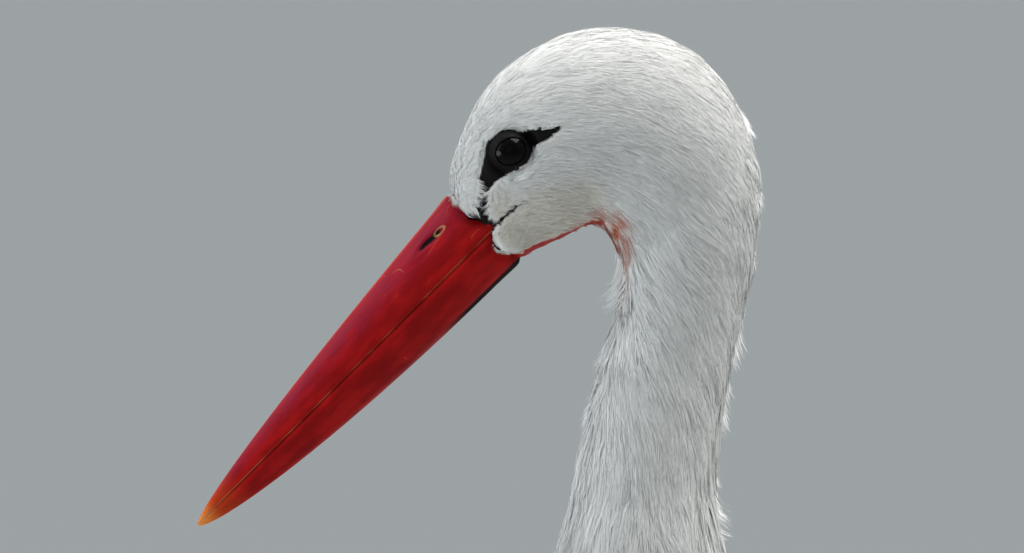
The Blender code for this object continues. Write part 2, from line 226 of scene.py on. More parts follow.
def ramp(value, start, end):
    """A smooth rise from 0 at start to 1 at end."""
    t = np.clip((np.asarray(value, float) - start) / (end - start), 0, 1)
    return t * t * (3 - 2 * t)


def averaged(values, edges, rounds, share=0.5):
    """Values at the vertices, smoothed over the mesh's edges this many times."""
    values = np.array(values, float)
    flat = values.ndim == 1
    values = values.reshape(len(values), -1)
    one, two = edges[:, 0], edges[:, 1]
    count = len(values)
    near = np.maximum(np.bincount(np.concatenate((one, two)), minlength=count), 1)[:, None]
    for _ in range(rounds):
        total = np.empty_like(values)
        for axis in range(values.shape[1]):
            column = values[:, axis]
            total[:, axis] = (np.bincount(one, column[two], count)
                              + np.bincount(two, column[one], count))
        values += share * (total / near - values)
    return values[:, 0] if flat else values


def fair(places, edges, rounds):
    """Smooths a surface without shrinking it."""
    for _ in range(rounds):
        places = averaged(places, edges, 1, 0.55)
        places = averaged(places, edges, 1, -0.57)
    return places


def nearest_on(tree, points):
    """For each point, the nearest place on the surface, its normal and its face."""
    spots = np.empty((len(points), 3))
    normals = np.empty((len(points), 3))
    faces = np.empty(len(points), int)
    for i, point in enumerate(points):
        spot, normal, face, _ = tree.find_nearest(point)
        spots[i], normals[i], faces[i] = spot, normal, face
    return spots, normals, faces


def solid_tree(nodes):
    """A search tree over CAD nodes, and the node that each of its faces belongs to."""
    corners, faces, owners = [], [], []
    for index, node in enumerate(nodes):
        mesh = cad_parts[node].data
        base = len(corners)
        corners += [tuple(v.co) for v in mesh.vertices]
        faces += [[base + i for i in polygon.vertices] for polygon in mesh.polygons]
        owners += [index] * len(mesh.polygons)
    return BVHTree.FromPolygons(corners, faces), np.array(owners)


def largest_island(obj):
    """Deletes all but the largest closed surface of the object."""
    bm = bmesh.new()
    bm.from_mesh(obj.data)
    waiting, islands = set(bm.faces), []
    while waiting:
        found, border = [], [waiting.pop()]
        while border:
            face = border.pop()
            found.append(face)
            for edge in face.edges:
                for other in edge.link_faces:
                    if other in waiting:
                        waiting.discard(other)
                        border.append(other)
        islands.append(found)
    kept = set(max(islands, key=len))
    bmesh.ops.delete(bm, geom=[face for face in bm.faces if face not in kept], context="FACES")
    bm.to_mesh(obj.data)
    bm.free()


def refined(obj, chosen):
    """Halves the faces of the mesh whose middles the test chooses."""
    bm = bmesh.new()
    bm.from_mesh(obj.data)
    middles = np.array([face.calc_center_median() for face in bm.faces])
    picked = chosen(middles)
    edges_to_halve = {edge for face, pick in zip(bm.faces, picked) if pick for edge in face.edges}
    bmesh.ops.subdivide_edges(bm, edges=list(edges_to_halve), cuts=1, use_grid_fill=True)
    bm.to_mesh(obj.data)
    bm.free()


def node_points(*nodes):
    return np.concatenate([places_of(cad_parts[node].data) for node in nodes])


# The bill's own measure: along the mouth line from its tip, and above that line.
upper_points, lower_points = node_points("bill_upper"), node_points("bill_lower")
mouth_gap = np.linalg.norm(upper_points[:, None] - lower_points[None], axis=2).min(1)
mouth_line = upper_points[mouth_gap < 0.0008] * (1, 0, 1)
mouth_way = np.linalg.svd(mouth_line - mouth_line.mean(0))[2][0]
mouth_way *= np.sign(mouth_way[0])
bill_up = np.array((-mouth_way[2], 0.0, mouth_way[0]))
tip_share = (mouth_line @ mouth_way).min()
bill_tip = mouth_line.mean(0) + mouth_way * (tip_share - mouth_line.mean(0) @ mouth_way)
BILL_LENGTH = (upper_points @ mouth_way).max() - tip_share
CULMEN_HEIGHT = ((upper_points - bill_tip) @ bill_up).max()
GONYS_DEPTH = -((lower_points - bill_tip) @ bill_up).min()
BILL_HALF_WIDTH = upper_points[:, 1].max()


def bill_point(along, height, side):
    return (bill_tip + np.multiply.outer(along, mouth_way) + np.multiply.outer(height, bill_up)
            + np.multiply.outer(side, (0.0, 1.0, 0.0)))


# Feathered lobes that reach forward over the horn on each side: along, height, side, radii.
FACE_LOBES = (
    ((0.1685, -0.0070, 0.0115), (0.0085, 0.0078, 0.0048)),
    ((0.1660, 0.0130, 0.0085), (0.0060, 0.0095, 0.0040)),
)
CHIN_MIDDLE = (0.0155, -0.0346)       # the bare fold under the jaw, behind and above the eye
CHIN_RADII = (0.0180, 0.0042, 0.0055)
CHIN_SLOPE = math.radians(26)


def swelling(middle, radii, way):
    """An egg of skin at a place, longest along a way in the side view."""
    bpy.ops.mesh.primitive_uv_sphere_add(segments=24, ring_count=16, radius=1)
    lobe = bpy.context.object
    swollen = places_of(lobe.data) * (radii[0], radii[2], radii[1])
    above = np.array((-way[2], 0.0, way[0]))
    set_places(lobe.data, middle + swollen[:, :1] * way + swollen[:, 2:] * above
               + swollen[:, 1:2] * (0, 1, 0))
    return lobe


skin = joined_copy("skin", FLESH_NODES + EYE_NODES, OVERLAP)
lobes = [swelling(bill_point(along, height, side * sign), radii, mouth_way)
         for (along, height, side), radii in FACE_LOBES for sign in (-1, 1)]
chin_middle = np.array((left_eye.x + CHIN_MIDDLE[0], 0.0, left_eye.z + CHIN_MIDDLE[1]))
lobes.append(swelling(chin_middle, CHIN_RADII,
                      np.array((math.cos(CHIN_SLOPE), 0.0, math.sin(CHIN_SLOPE)))))
bpy.ops.object.select_all(action="DESELECT")
for piece in (*lobes, skin):
    piece.select_set(True)
bpy.context.view_layer.objects.active = skin
bpy.ops.object.join()
apply_modifier(skin, "REMESH", mode="VOXEL", voxel_size=SKIN_GRAIN, adaptivity=0.0)
largest_island(skin)

cad_nodes = FLESH_NODES + EYE_NODES
cad_tree, cad_owner = solid_tree(cad_nodes)
owner_kind = np.array([node if node in BODY_NODES else node.split("_")[0]
                       for node in cad_nodes])
LEG_KINDS = ("shank", "tarsus", "foot", "toe")
thigh_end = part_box("thigh_left")[0].z
EYE_RADIUS = (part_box("eye_left")[1].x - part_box("eye_left")[0].x) / 2
LID_OPENING = 0.0059


def kinds_at(points):
    """Which part of the bird each point is nearest to."""
    _, _, faces = nearest_on(cad_tree, points)
    return owner_kind[cad_owner[faces]]


def from_eye(points):
    """Distance of each point from the middle of the eye, seen from the side."""
    return np.hypot(points[:, 0] - left_eye.x, points[:, 2] - left_eye.z)


# The body is made fair, then the legs are halved and laid back on their solids.
places = fair(places_of(skin.data), edges_of(skin.data), 6)
set_places(skin.data, places)
refined(skin, lambda at: at[:, 2] < thigh_end + 0.004)
places, edges = places_of(skin.data), edges_of(skin.data)
spots, _, faces = nearest_on(cad_tree, places)
kinds = owner_kind[cad_owner[faces]]
on_leg = np.isin(kinds, LEG_KINDS) & (places[:, 2] < thigh_end + 0.001)
places[on_leg] = spots[on_leg]
places = np.where(on_leg[:, None], averaged(places, edges, 2), places)

# The rest sinks by the depth of the coat.
depth = np.array([COAT_DEPTH.get(kind, 0.0) for kind in kinds])
is_thigh = kinds == "thigh"
depth[is_thigh] *= 0.25 + 0.75 * ramp(places[is_thigh, 2], thigh_end, thigh_end + 0.05)
depth[on_leg] = 0.0
depth = averaged(depth, edges, 25)
depth[on_leg] = 0.0
set_places(skin.data, places)
places -= normals_of(skin.data) * (depth + np.where(on_leg, 0, OVERLAP))[:, None]
set_places(skin.data, places)

# Between the two folded wings the hide lies under the line of their upper edges.
back_tree = solid_tree(["trunk"] + [f"wing_{side}_{part}" for side in SIDES
                                    for part in ("coverts", "secondaries", "primaries")])[0]
RIDGE_ROUND = 0.075                      # twice the radius of the back across the ridge
RIDGE_START, RIDGE_END = -0.02, 0.29
RIDGE_HALF_WIDTH = 0.030
RIDGE_SUNK = 0.0055                      # how far the hide lies under the ridge
ridge_x = np.linspace(-0.10, 0.30, 41)
ridge_z = np.array([max((back_tree.ray_cast((x, y, 1.5), (0, 0, -1))[0] or Vector()).z
                        for y in np.linspace(-0.024, 0.024, 13)) for x in ridge_x])
ridge_curve = np.polyfit(ridge_x, ridge_z, 6)
places = places_of(skin.data)
near_top = ((places[:, 0] > RIDGE_START) & (places[:, 0] < RIDGE_END)
            & (np.abs(places[:, 1]) < RIDGE_HALF_WIDTH))
roof = np.polyval(ridge_curve, places[:, 0]) - places[:, 1] ** 2 / RIDGE_ROUND - RIDGE_SUNK
near_top &= places[:, 2] > roof
places[near_top, 2] = roof[near_top]
set_places(skin.data, places)

# The face is halved again and again towards the lids.
FACE_REACH = 0.050
SOCKET_REACH = 0.024
LID_REACH = (0.0045, 0.0090)
refined(skin, lambda at: (from_eye(at) < FACE_REACH) & (at[:, 0] < left_eye.x + 0.022))
refined(skin, lambda at: from_eye(at) < SOCKET_REACH)
refined(skin, lambda at: (from_eye(at) > LID_REACH[0]) & (from_eye(at) < LID_REACH[1]))
places, edges = places_of(skin.data), edges_of(skin.data)
near_face = from_eye(places) < FACE_REACH + 0.004
places = np.where(near_face[:, None], fair(places, edges, 4), places)

# The eyelids: a rim that fits the ball, with the socket behind it.
LID_THICKNESS = 0.0006
LID_SLANT = math.radians(27)             # which way the opening is widest
SOCKET_DEPTH = 0.0015
for side, sign in SIDES.items():
    spot = np.array(eye_spots[side])
    away = places - spot
    beside = np.hypot(away[:, 0], away[:, 2])
    near = (beside < 0.016) & (away[:, 1] * sign > -0.006)
    turn = np.arctan2(away[:, 2], away[:, 0])
    opening = LID_OPENING * (1 + 0.09 * np.cos(2 * (turn - LID_SLANT)))
    on_rim = near & (np.abs(beside - opening) < 0.00035)
    scale = np.where(on_rim, opening / np.maximum(beside, 1e-9), 1.0)
    places[:, 0] = spot[0] + away[:, 0] * scale
    places[:, 2] = spot[2] + away[:, 2] * scale
    beside = np.where(on_rim, opening, beside)
    ball = np.sqrt(np.maximum(EYE_RADIUS ** 2 - beside ** 2, 0))
    socket = np.sqrt(np.maximum((EYE_RADIUS - SOCKET_DEPTH) ** 2 - beside ** 2, 0))
    lid = ball + LID_THICKNESS
    height = away[:, 1] * sign
    blend = ramp(beside, opening + 0.0008, opening + 0.0060)
    shaped = np.where(beside < opening - 0.0002, socket, lid + (height - lid) * blend)
    places[:, 1] = np.where(near, spot[1] + sign * shaped, places[:, 1])
set_places(skin.data, places)

# ----------------------------------------
# The bill. Two sheaths of red horn over bone that meet along the mouth, paler at the tip,
# with a slit nostril on each side. Each is rooted a little way under the face's feathers.
# ----------------------------------------
BILL_ROWS = 150
BILL_COLUMNS = 56
MOUTH_FACE = 0.10            # share of the columns that close each half along the mouth
# Where the horn ends under the feathers: height over the mouth line, distance from the tip.
HORN_EDGE_HEIGHT = (-0.0170, -0.0117, -0.0073, -0.0027, -0.0006, 0.0008, 0.0030, 0.0104,
                    0.0156, 0.0223)
HORN_EDGE_ALONG = (0.1665, 0.1630, 0.1608, 0.1618, 0.1660, 0.1695, 0.1665, 0.1615,
                   0.1620, 0.1645)
LIP_HEIGHT = 0.0011
UPPER_LIP = 0.00022          # how far each cutting edge rolls in
LOWER_LIP = 0.00055
NOSTRIL = (0.893, 0.66)      # shares of the bill's length and of the culmen's height
NOSTRIL_LENGTH = 0.0074
NOSTRIL_HEIGHT = 0.0011
NOSTRIL_DEPTH = 0.0014
NOSTRIL_OVAL = (NOSTRIL[0] * BILL_LENGTH + 0.0050, NOSTRIL[1] * CULMEN_HEIGHT, 0.0026, 0.0011)


def set_vectors(mesh, name, values):
    """Keeps a vector for each vertex of the mesh in a named attribute."""
    layer = mesh.attributes.new(name, "FLOAT_VECTOR", "POINT")
    layer.data.foreach_set("vector", values.ravel())


def face_outward(mesh):
    """Turns a closed mesh's faces outward and shades it smooth."""
    away = places_of(mesh) - places_of(mesh).mean(0)
    if (away * normals_of(mesh)).sum() < 0:
        mesh.flip_normals()
    mesh.shade_smooth()


def bill_sheath(name, upper):
    """One half of the bill, from a flat grid wrapped round its length."""
    bpy.ops.object.select_all(action="DESELECT")
    bpy.ops.mesh.primitive_grid_add(x_subdivisions=BILL_ROWS, y_subdivisions=BILL_COLUMNS,
                                    size=1)
    sheath = bpy.context.object
    sheath.name = name
    flat = places_of(sheath.data) + 0.5
    turn_share = flat[:, 1] * (1 + MOUTH_FACE)
    turn = math.pi * np.clip(turn_share, 0, 1)
    across = np.sign(np.cos(turn)) * np.abs(np.cos(turn)) ** 1.2
    closing = np.clip((turn_share - 1) / MOUTH_FACE, 0, 1)
    across = np.where(closing > 0, -1 + 2 * closing, across)
    over = np.where(closing > 0, 0.0, np.sin(turn))
    full = CULMEN_HEIGHT if upper else -GONYS_DEPTH
    edge = np.interp(full * over, HORN_EDGE_HEIGHT, HORN_EDGE_ALONG)
    along = flat[:, 0] ** 1.35 * edge    # the rows stand closer together at the tip
    size = np.clip(along / BILL_LENGTH, 0, 1)
    half_width = BILL_HALF_WIDTH * size ** 0.72
    if upper:
        height = CULMEN_HEIGHT * size ** 0.66
    else:
        height = -GONYS_DEPTH * (1 - (1 - size) ** 2.0) ** 0.62
    rise = height * over
    # The cutting edge rolls in a little, and below it the lower half is set in.
    lip = np.exp(-(rise / LIP_HEIGHT) ** 2) * ramp(size, 0.0, 0.15)
    inset = (UPPER_LIP if upper else LOWER_LIP) * lip
    sign = 1 if upper else -1
    side = across * (half_width - inset)
    # The nostril: a slit with a raised rim and an oval opening at its rear end.
    slit = np.hypot((along - NOSTRIL[0] * BILL_LENGTH) / NOSTRIL_LENGTH,
                    (rise - NOSTRIL[1] * CULMEN_HEIGHT) / NOSTRIL_HEIGHT)
    sunk = (1 - ramp(slit, 0.55, 1.15)) * upper
    rim = np.exp(-((slit - 1.35) / 0.28) ** 2) * upper * 0.00025
    side = side - np.sign(side) * (sunk * NOSTRIL_DEPTH - rim)
    # The last rows dip under the feathers.
    tuck = ramp(flat[:, 0], 1 - 2.5 / BILL_ROWS, 1.0)
    proud = 0.00025 * ramp(along, 0.150, BILL_LENGTH) * (1 - tuck) - 0.0016 * tuck
    outward = unit(np.stack((across, over * sign), axis=1))
    side = side + outward[:, 0] * proud
    rise = rise + outward[:, 1] * proud + sign * 0.00006
    set_places(sheath.data, bill_point(along, rise, side))
    set_vectors(sheath.data, "horn_place", np.stack((along, rise, side), axis=1))
    rise_share = rise / np.maximum(np.abs(height), 1e-5)
    set_vectors(sheath.data, "horn_share", np.stack((size, rise_share, sunk), axis=1))
    bm = bmesh.new()
    bm.from_mesh(sheath.data)
    bmesh.ops.remove_doubles(bm, verts=bm.verts, dist=2e-5)
    bmesh.ops.recalc_face_normals(bm, faces=bm.faces)
    bm.to_mesh(sheath.data)
    bm.free()
    face_outward(sheath.data)
    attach(sheath, "root")
    return sheath


def link(tree, *pairs):
    for start, end in pairs:
        tree.links.new(start, end)


def math_node(tree, operation, *values):
    """A math node whose inputs are sockets or numbers; gives its output."""
    made = tree.nodes.new("ShaderNodeMath")
    made.operation = operation
    for socket, value in zip(made.inputs, values):
        if hasattr(value, "links"):
            tree.links.new(value, socket)
        else:
            socket.default_value = value
    return made.outputs[0]


def times(tree, one, two):
    return math_node(tree, "MULTIPLY", one, two)


def plus(tree, one, two):
    return math_node(tree, "ADD", one, two)


def minus(tree, one, two):
    return math_node(tree, "SUBTRACT", one, two)


def mix_colour(tree, factor, one, two):
    """A colour mix whose inputs are sockets or values; gives its output."""
    made = tree.nodes.new("ShaderNodeMix")
    made.data_type = "RGBA"
    for socket, value in ((made.inputs["Factor"], factor), (made.inputs["A"], one),
                          (made.inputs["B"], two)):
        if hasattr(value, "links"):
            tree.links.new(value, socket)
        elif isinstance(value, (int, float)):
            socket.default_value = value
        else:
            socket.default_value = (*value, 1)
    return next(o for o in made.outputs if o.type == "RGBA")


def smooth_step(tree, value, start, end, low=0.0, high=1.0):
    """A smooth rise from low, where the value is start, to high, where it is end."""
    made = shader_node(tree, "ShaderNodeMapRange", interpolation_type="SMOOTHSTEP",
                       From_Min=start, From_Max=end, To_Min=low, To_Max=high)
    tree.links.new(value, made.inputs["Value"])
    return made.outputs["Result"]


def noise_on(tree, vector, scale, detail):
    """A noise texture over a vector that is first stretched by these three scales."""
    stretch = shader_node(tree, "ShaderNodeMapping", Scale=scale)
    noise = shader_node(tree, "ShaderNodeTexNoise", Scale=1.0, Detail=detail, Roughness=0.5)
    link(tree, (vector, stretch.inputs["Vector"]), (stretch.outputs[0], noise.inputs["Vector"]))
    return noise.outputs["Fac"]


red_horn, horn_shader = principled("red_horn", Specular_IOR_Level=0.08,
                                   Subsurface_Weight=0.08, Subsurface_Scale=0.004)
horn = red_horn.node_tree
horn_place = shader_node(horn, "ShaderNodeAttribute", attribute_name="horn_place")
horn_share = shader_node(horn, "ShaderNodeAttribute", attribute_name="horn_share")
place_parts = horn.nodes.new("ShaderNodeSeparateXYZ")
share_parts = horn.nodes.new("ShaderNodeSeparateXYZ")
on_horn = horn_place.outputs["Vector"]
link(horn, (on_horn, place_parts.inputs[0]), (horn_share.outputs["Vector"], share_parts.inputs[0]))
horn_along, horn_rise, _ = place_parts.outputs
share_along, share_rise, share_sunk = share_parts.outputs
streaks = noise_on(horn, on_horn, (45, 900, 900), 4)
clouds = noise_on(horn, on_horn, (60, 160, 160), 3)
grain = noise_on(horn, on_horn, (350, 2200, 2200), 4)
red = mix_colour(horn, smooth_step(horn, clouds, 0.35, 0.65), (0.255, 0.0030, 0.0036),
                 (0.400, 0.0060, 0.0060))
# The upper half is painted purplish in streaks towards its top: a painted sheen of the light from above
# on the horn.
painted_sheen = times(horn, smooth_step(horn, share_rise, 0.30, 0.85),
              smooth_step(horn, streaks, 0.30, 0.70, 0.35, 1.0))
red = mix_colour(horn, painted_sheen, red, (0.240, 0.012, 0.032))
tip_colour = mix_colour(horn, smooth_step(horn, share_along, 0.0, 0.075),
                        (0.88, 0.30, 0.055), (0.50, 0.050, 0.008))
at_tip = plus(horn, share_along, times(horn, minus(horn, streaks, 0.5), 0.06))
red = mix_colour(horn, smooth_step(horn, at_tip, 0.03, 0.17), tip_colour, red)
# Along the very ridge of the culmen the horn is painted paler and orange: a painted highlight of the
# light along its top.
red = mix_colour(horn, smooth_step(horn, share_rise, 0.965, 0.998), red, (0.46, 0.060, 0.040))
# The cutting edge of the upper half is worn pale, in broken lengths.
edge_line = times(horn, smooth_step(horn, horn_rise, 0.0009, 0.0002),
                  smooth_step(horn, horn_rise, -0.0002, 0.0001))
edge_line = times(horn, edge_line, smooth_step(horn, clouds, 0.42, 0.60, 0.10, 0.6))
red = mix_colour(horn, edge_line, red, (0.50, 0.16, 0.07))
# Fine pale scratches wander over the rear of both halves.
wander = noise_on(horn, on_horn, (26, 75, 75), 1)
scratch = smooth_step(horn, math_node(horn, "ABSOLUTE", minus(horn, wander, 0.5)), 0.0022, 0.0005)
scratch = times(horn, scratch, smooth_step(horn, clouds, 0.52, 0.64, 0.0, 0.55))
scratch = times(horn, scratch, smooth_step(horn, share_along, 0.45, 0.65))
red = mix_colour(horn, scratch, red, (0.70, 0.28, 0.12))
# Black skin shows along the rear of the lower edge. Inside the nostril slit the near-black is painted
# shade of its opening.
under = times(horn, smooth_step(horn, share_rise, -0.87, -0.93),
              smooth_step(horn, share_along, 0.72, 0.84))
dark = math_node(horn, "MAXIMUM", under, smooth_step(horn, share_sunk, 0.25, 0.8))
red = mix_colour(horn, dark, red, (0.012, 0.006, 0.007))
# The nostril opens at its rear in an oval with a pale horny rim.
oval_along = math_node(horn, "DIVIDE", minus(horn, horn_along, NOSTRIL_OVAL[0]), NOSTRIL_OVAL[2])
oval_rise = math_node(horn, "DIVIDE", minus(horn, horn_rise, NOSTRIL_OVAL[1]), NOSTRIL_OVAL[3])
oval = plus(horn, times(horn, oval_along, oval_along), times(horn, oval_rise, oval_rise))
oval_rim = times(horn, smooth_step(horn, oval, 0.35, 0.75), smooth_step(horn, oval, 1.7, 1.1))
oval_rim = times(horn, oval_rim, smooth_step(horn, streaks, 0.25, 0.6, 0.10, 0.75))
red = mix_colour(horn, oval_rim, red, (0.52, 0.34, 0.13))
wear = plus(horn, smooth_step(horn, streaks, 0.25, 0.75, 0.30, 0.46), times(horn, dark, 0.4))
horn_bump = shader_node(horn, "ShaderNodeBump", Strength=0.22, Distance=0.0004)
relief = plus(horn, times(horn, grain, 0.5), minus(horn, streaks, times(horn, scratch, 0.6)))
link(horn, (red, horn_shader.inputs["Base Color"]), (wear, horn_shader.inputs["Roughness"]),
     (relief, horn_bump.inputs["Height"]), (horn_bump.outputs["Normal"], horn_shader.inputs["Normal"]))
for node, upper in (("bill_upper", True), ("bill_lower", False)):
    sheath = bill_sheath(f"{node}_sheath", upper)
    sheath.data.materials.append(red_horn)
    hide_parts(node)

# ----------------------------------------
# The eyes. Dark brown irises, close to black, behind a clear wet cornea that bulges a little
# out of the ball, in the black bare skin of the lids.
# ----------------------------------------
CORNEA_RADIUS = 0.0056
CORNEA_BULGE = 0.0006
eye_ball, ball_shader = principled("eye_dark", Roughness=0.25, Specular_IOR_Level=0.0,
                                   Coat_Weight=1.0, Coat_Roughness=0.02, Coat_IOR=1.16)
ball = eye_ball.node_tree
gaze = shader_node(ball, "ShaderNodeAttribute", attribute_name="gaze")
gaze_parts = ball.nodes.new("ShaderNodeSeparateXYZ")
link(ball, (gaze.outputs["Vector"], gaze_parts.inputs[0]))
fibres = noise_on(ball, gaze.outputs["Vector"], (900, 9, 1), 3)
iris = mix_colour(ball, smooth_step(ball, fibres, 0.35, 0.65), (0.0014, 0.0010, 0.0008),
                  (0.0052, 0.0030, 0.0018))
iris = mix_colour(ball, smooth_step(ball, gaze_parts.outputs["X"], 0.0029, 0.0034),
                  (0.0008, 0.0008, 0.0010), iris)
iris = mix_colour(ball, smooth_step(ball, gaze_parts.outputs["X"], 0.0053, 0.0060), iris,
                  (0.003, 0.0026, 0.0026))
link(ball, (iris, ball_shader.inputs["Base Color"]))
for side, sign in SIDES.items():
    bpy.ops.object.select_all(action="DESELECT")
    bpy.ops.mesh.primitive_uv_sphere_add(segments=48, ring_count=32, radius=EYE_RADIUS)
    globe = bpy.context.object
    globe.name = f"eyeball_{side}"
    round_places = places_of(globe.data)[:, (0, 2, 1)] * (1, sign, -1 * sign)
    off_axis = np.hypot(round_places[:, 0], round_places[:, 2])
    front = round_places[:, 1] * sign > 0
    bulge = CORNEA_BULGE * np.cos(np.minimum(off_axis / CORNEA_RADIUS, 1) * math.pi / 2) ** 1.5
    round_places[:, 1] += sign * front * bulge
    spin = np.arctan2(round_places[:, 2], round_places[:, 0])
    set_vectors(globe.data, "gaze", np.stack(
        (np.where(front, off_axis, EYE_RADIUS), np.cos(spin), np.sin(spin)), axis=1))
    set_places(globe.data, round_places + np.array(eye_spots[side]))
    face_outward(globe.data)
    globe.data.materials.append(eye_ball)
    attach(globe, "root")
    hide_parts(f"eye_{side}")

# ----------------------------------------
# The claws. Short blunt nails of dark horn at the ends of the toes.
# ----------------------------------------
claw_horn, claw_shader = principled("claw_horn", Specular_IOR_Level=0.4)
claw_tree = claw_horn.node_tree
on_claw = claw_tree.nodes.new("ShaderNodeTexCoord")
claw_streaks = noise_on(claw_tree, on_claw.outputs["Object"], (900, 900, 260), 4)
link(claw_tree, (mix_colour(claw_tree, claw_streaks, (0.020, 0.014, 0.011), (0.085, 0.055, 0.040)),
                 claw_shader.inputs["Base Color"]),
     (smooth_step(claw_tree, claw_streaks, 0.3, 0.7, 0.28, 0.5), claw_shader.inputs["Roughness"]))
CLAW_REACH = 0.012           # half the room that one nail takes up
CLAW_ROOT = 0.0035           # how far its base reaches back into the toe
CLAW_NODES = [f"claw_{side}_{toe}" for side in SIDES for toe in TOES]
claws = joined_copy("claws", CLAW_NODES, 0.0002)
claw_places = places_of(claws.data)
for side in SIDES:
    for toe in TOES:                     # the base of each nail reaches back into its toe
        middle = node_points(f"claw_{side}_{toe}").mean(0)
        back_way = unit(node_points(f"toe_{side}_{toe}").mean(0) - middle)
        away = claw_places - middle
        own = (np.linalg.norm(away, axis=1) < CLAW_REACH) & (away @ back_way > 0)
        claw_places[own] += back_way * CLAW_ROOT
set_places(claws.data, claw_places)
apply_modifier(claws, "SUBSURF", levels=2, render_levels=2)
claws.data.materials.clear()
claws.data.materials.append(claw_horn)
claws.data.shade_smooth()
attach(claws, "root")
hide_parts(*CLAW_NODES)

# ----------------------------------------
# The lie of the coat. It runs from the bill back over the head, down the neck, over the
# breast and back to the tail, to the tips of the wings, and down the thighs.
# ----------------------------------------
def rim_plane(rim, ahead):
    """The middle of a flat rim of points, and its normal on the side of ahead."""
    middle = rim.mean(0)
    normal = np.linalg.svd(rim - middle)[2][2]
    normal[1] = 0.0
    normal = unit(normal)
    return middle, normal * np.sign(normal @ (ahead - middle))


def shared_plane(one, two):
    """The plane in which two nodes of the body meet."""
    first, second = node_points(one), node_points(two)
    gap = np.linalg.norm(first[:, None] - second[None], axis=2).min(1)
    return rim_plane(first[gap < 0.0008], second.mean(0))


bill_plane = (bill_tip + mouth_way * BILL_LENGTH, mouth_way)
tail_points = node_points("tail")
tail_tip = tail_points[tail_points[:, 0].argmax()] * (1, 0, 1)
trunk_points = node_points("trunk")
rump = trunk_points[trunk_points[:, 0] > trunk_points[:, 0].max() - 0.05].mean(0) * (1, 0, 1)
tail_axis = unit(tail_tip - rump)
SEAM_PLANES = [bill_plane]
SEAM_PLANES += [shared_plane(one, two) for one, two in zip(BODY_NODES, BODY_NODES[1:])]
SEAM_PLANES.append((rump, tail_axis))
hand_points = node_points("wing_left_primaries")
wing_tip = hand_points[hand_points[:, 0].argmax()] * (1, 0, 1)
shank_tops = {sign: (np.array(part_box(f"shank_{side}")[0]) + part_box(f"shank_{side}")[1]) / 2
              for side, sign in SIDES.items()}
LORE = np.array([(-9.9, -12.6), (-12.2, -25.0)]) / 1000   # middle line of the bare lore


def eye_frame(points):
    """How far each point is behind and above the eye, seen from the side."""
    return np.stack((points[:, 0] - left_eye.x, points[:, 2] - left_eye.z), axis=1)


def lie(points, kinds):
    """The way the feathers point at each place, before it is laid along the skin."""
    flow = np.tile((0.0, 0.0, -1.0), (len(points), 1))
    for index, kind in enumerate(BODY_NODES):
        here = kinds == kind
        (start, start_way), (end, end_way) = SEAM_PLANES[index], SEAM_PLANES[index + 1]
        passed = np.maximum((points[here] - start) @ start_way, 0)
        left_over = np.maximum((end - points[here]) @ end_way, 0)
        share = (passed / np.maximum(passed + left_over, 1e-9))[:, None]
        flow[here] = start_way * (1 - share) + end_way * share
    here = np.isin(kinds, ("wing", "tail"))
    flow[here] = wing_tip * (1, 0, 1) + (0.06, 0, 0) - points[here] * (1, 0, 1)
    for sign, top in shank_tops.items():
        here = (kinds == "thigh") & (points[:, 1] * sign > 0)
        flow[here] = (top - (0, 0, 0.12) - points[here])
    flow = unit(flow)
    # Round the bare lore the small feathers turn over it, down towards the bill.
    seen = eye_frame(points)
    span = LORE[1] - LORE[0]
    share = np.clip(((seen - LORE[0]) @ span) / (span @ span), 0, 1)
    middle = LORE[0] + share[:, None] * span
    off = np.linalg.norm(seen - middle, axis=1)
    target = middle + unit(span) * 0.006 - seen
    turned = unit(np.stack((target[:, 0], np.zeros(len(seen)), target[:, 1]), axis=1))
    weight = ((kinds == "head") * np.exp(-(off / 0.0062) ** 2))[:, None] * 1.6
    return unit(flow + turned * weight)


# ----------------------------------------
# The markings. The bird is white, with bare black skin from the bill round the eye, red
# skin along the chin, a rusty stain in the corner of the throat, and black flight feathers.
# ----------------------------------------
def stroke(seen, corners):
    """How far each place is outside a tapering brush stroke, through rows of x, z, radius."""
    corners = np.array(corners) / 1000
    gap = np.full(len(seen), 1.0)
    for one, two in zip(corners, corners[1:]):
        span = two[:2] - one[:2]
        share = np.clip(((seen - one[:2]) @ span) / (span @ span), 0, 1)
        middle = one[:2] + share[:, None] * span
        radius = one[2] + share * (two[2] - one[2])
        gap = np.minimum(gap, np.linalg.norm(seen - middle, axis=1) - radius)
    return gap


# Each stroke: millimetres behind and above the eye, and the radius there.
BARE_STROKES = (
    ((-2.4, -0.2, 7.8), (1.4, 0.4, 6.9)),
    ((-4.2, -3.4, 6.9), (-9.4, -11.3, 3.3), (-10.2, -15.0, 1.9), (-10.9, -20.5, 2.9),
     (-12.2, -24.5, 4.8), (-12.6, -27.0, 5.6)),
    ((3.5, 2.3, 5.4), (12.0, 6.7, 3.0), (15.6, 8.1, 2.2), (18.6, 9.5, 1.1)),
)
GAPE_STROKE = ((-6.5, -29.6, 1.3), (-2.0, -25.6, 1.0), (2.0, -22.1, 0.8), (6.2, -20.3, 0.4))
LOBE_RIM = ((-5.5, -28.8, 0.9), (-7.8, -32.3, 0.9), (-9.0, -37.0, 0.9), (-6.7, -41.2, 0.8),
            (-1.6, -43.6, 0.8), (4.0, -45.2, 0.6))
HORN_WEDGE = ((-13.5, -34.0, 4.6), (-7.2, -30.2, 1.2))
CHIN_STROKE = ((-2.0, -46.2, 3.0), (4.2, -42.8, 2.7), (10.5, -39.0, 2.4), (19.3, -35.4, 2.2),
               (26.8, -32.0, 2.1), (34.0, -28.6, 2.3))
THROAT_STROKE = ((27.0, -30.0, 0.3), (35.0, -27.0, 2.4), (41.0, -30.0, 3.9), (43.0, -37.0, 3.2),
                 (43.5, -48.0, 1.5), (42.0, -60.0, 0.3))
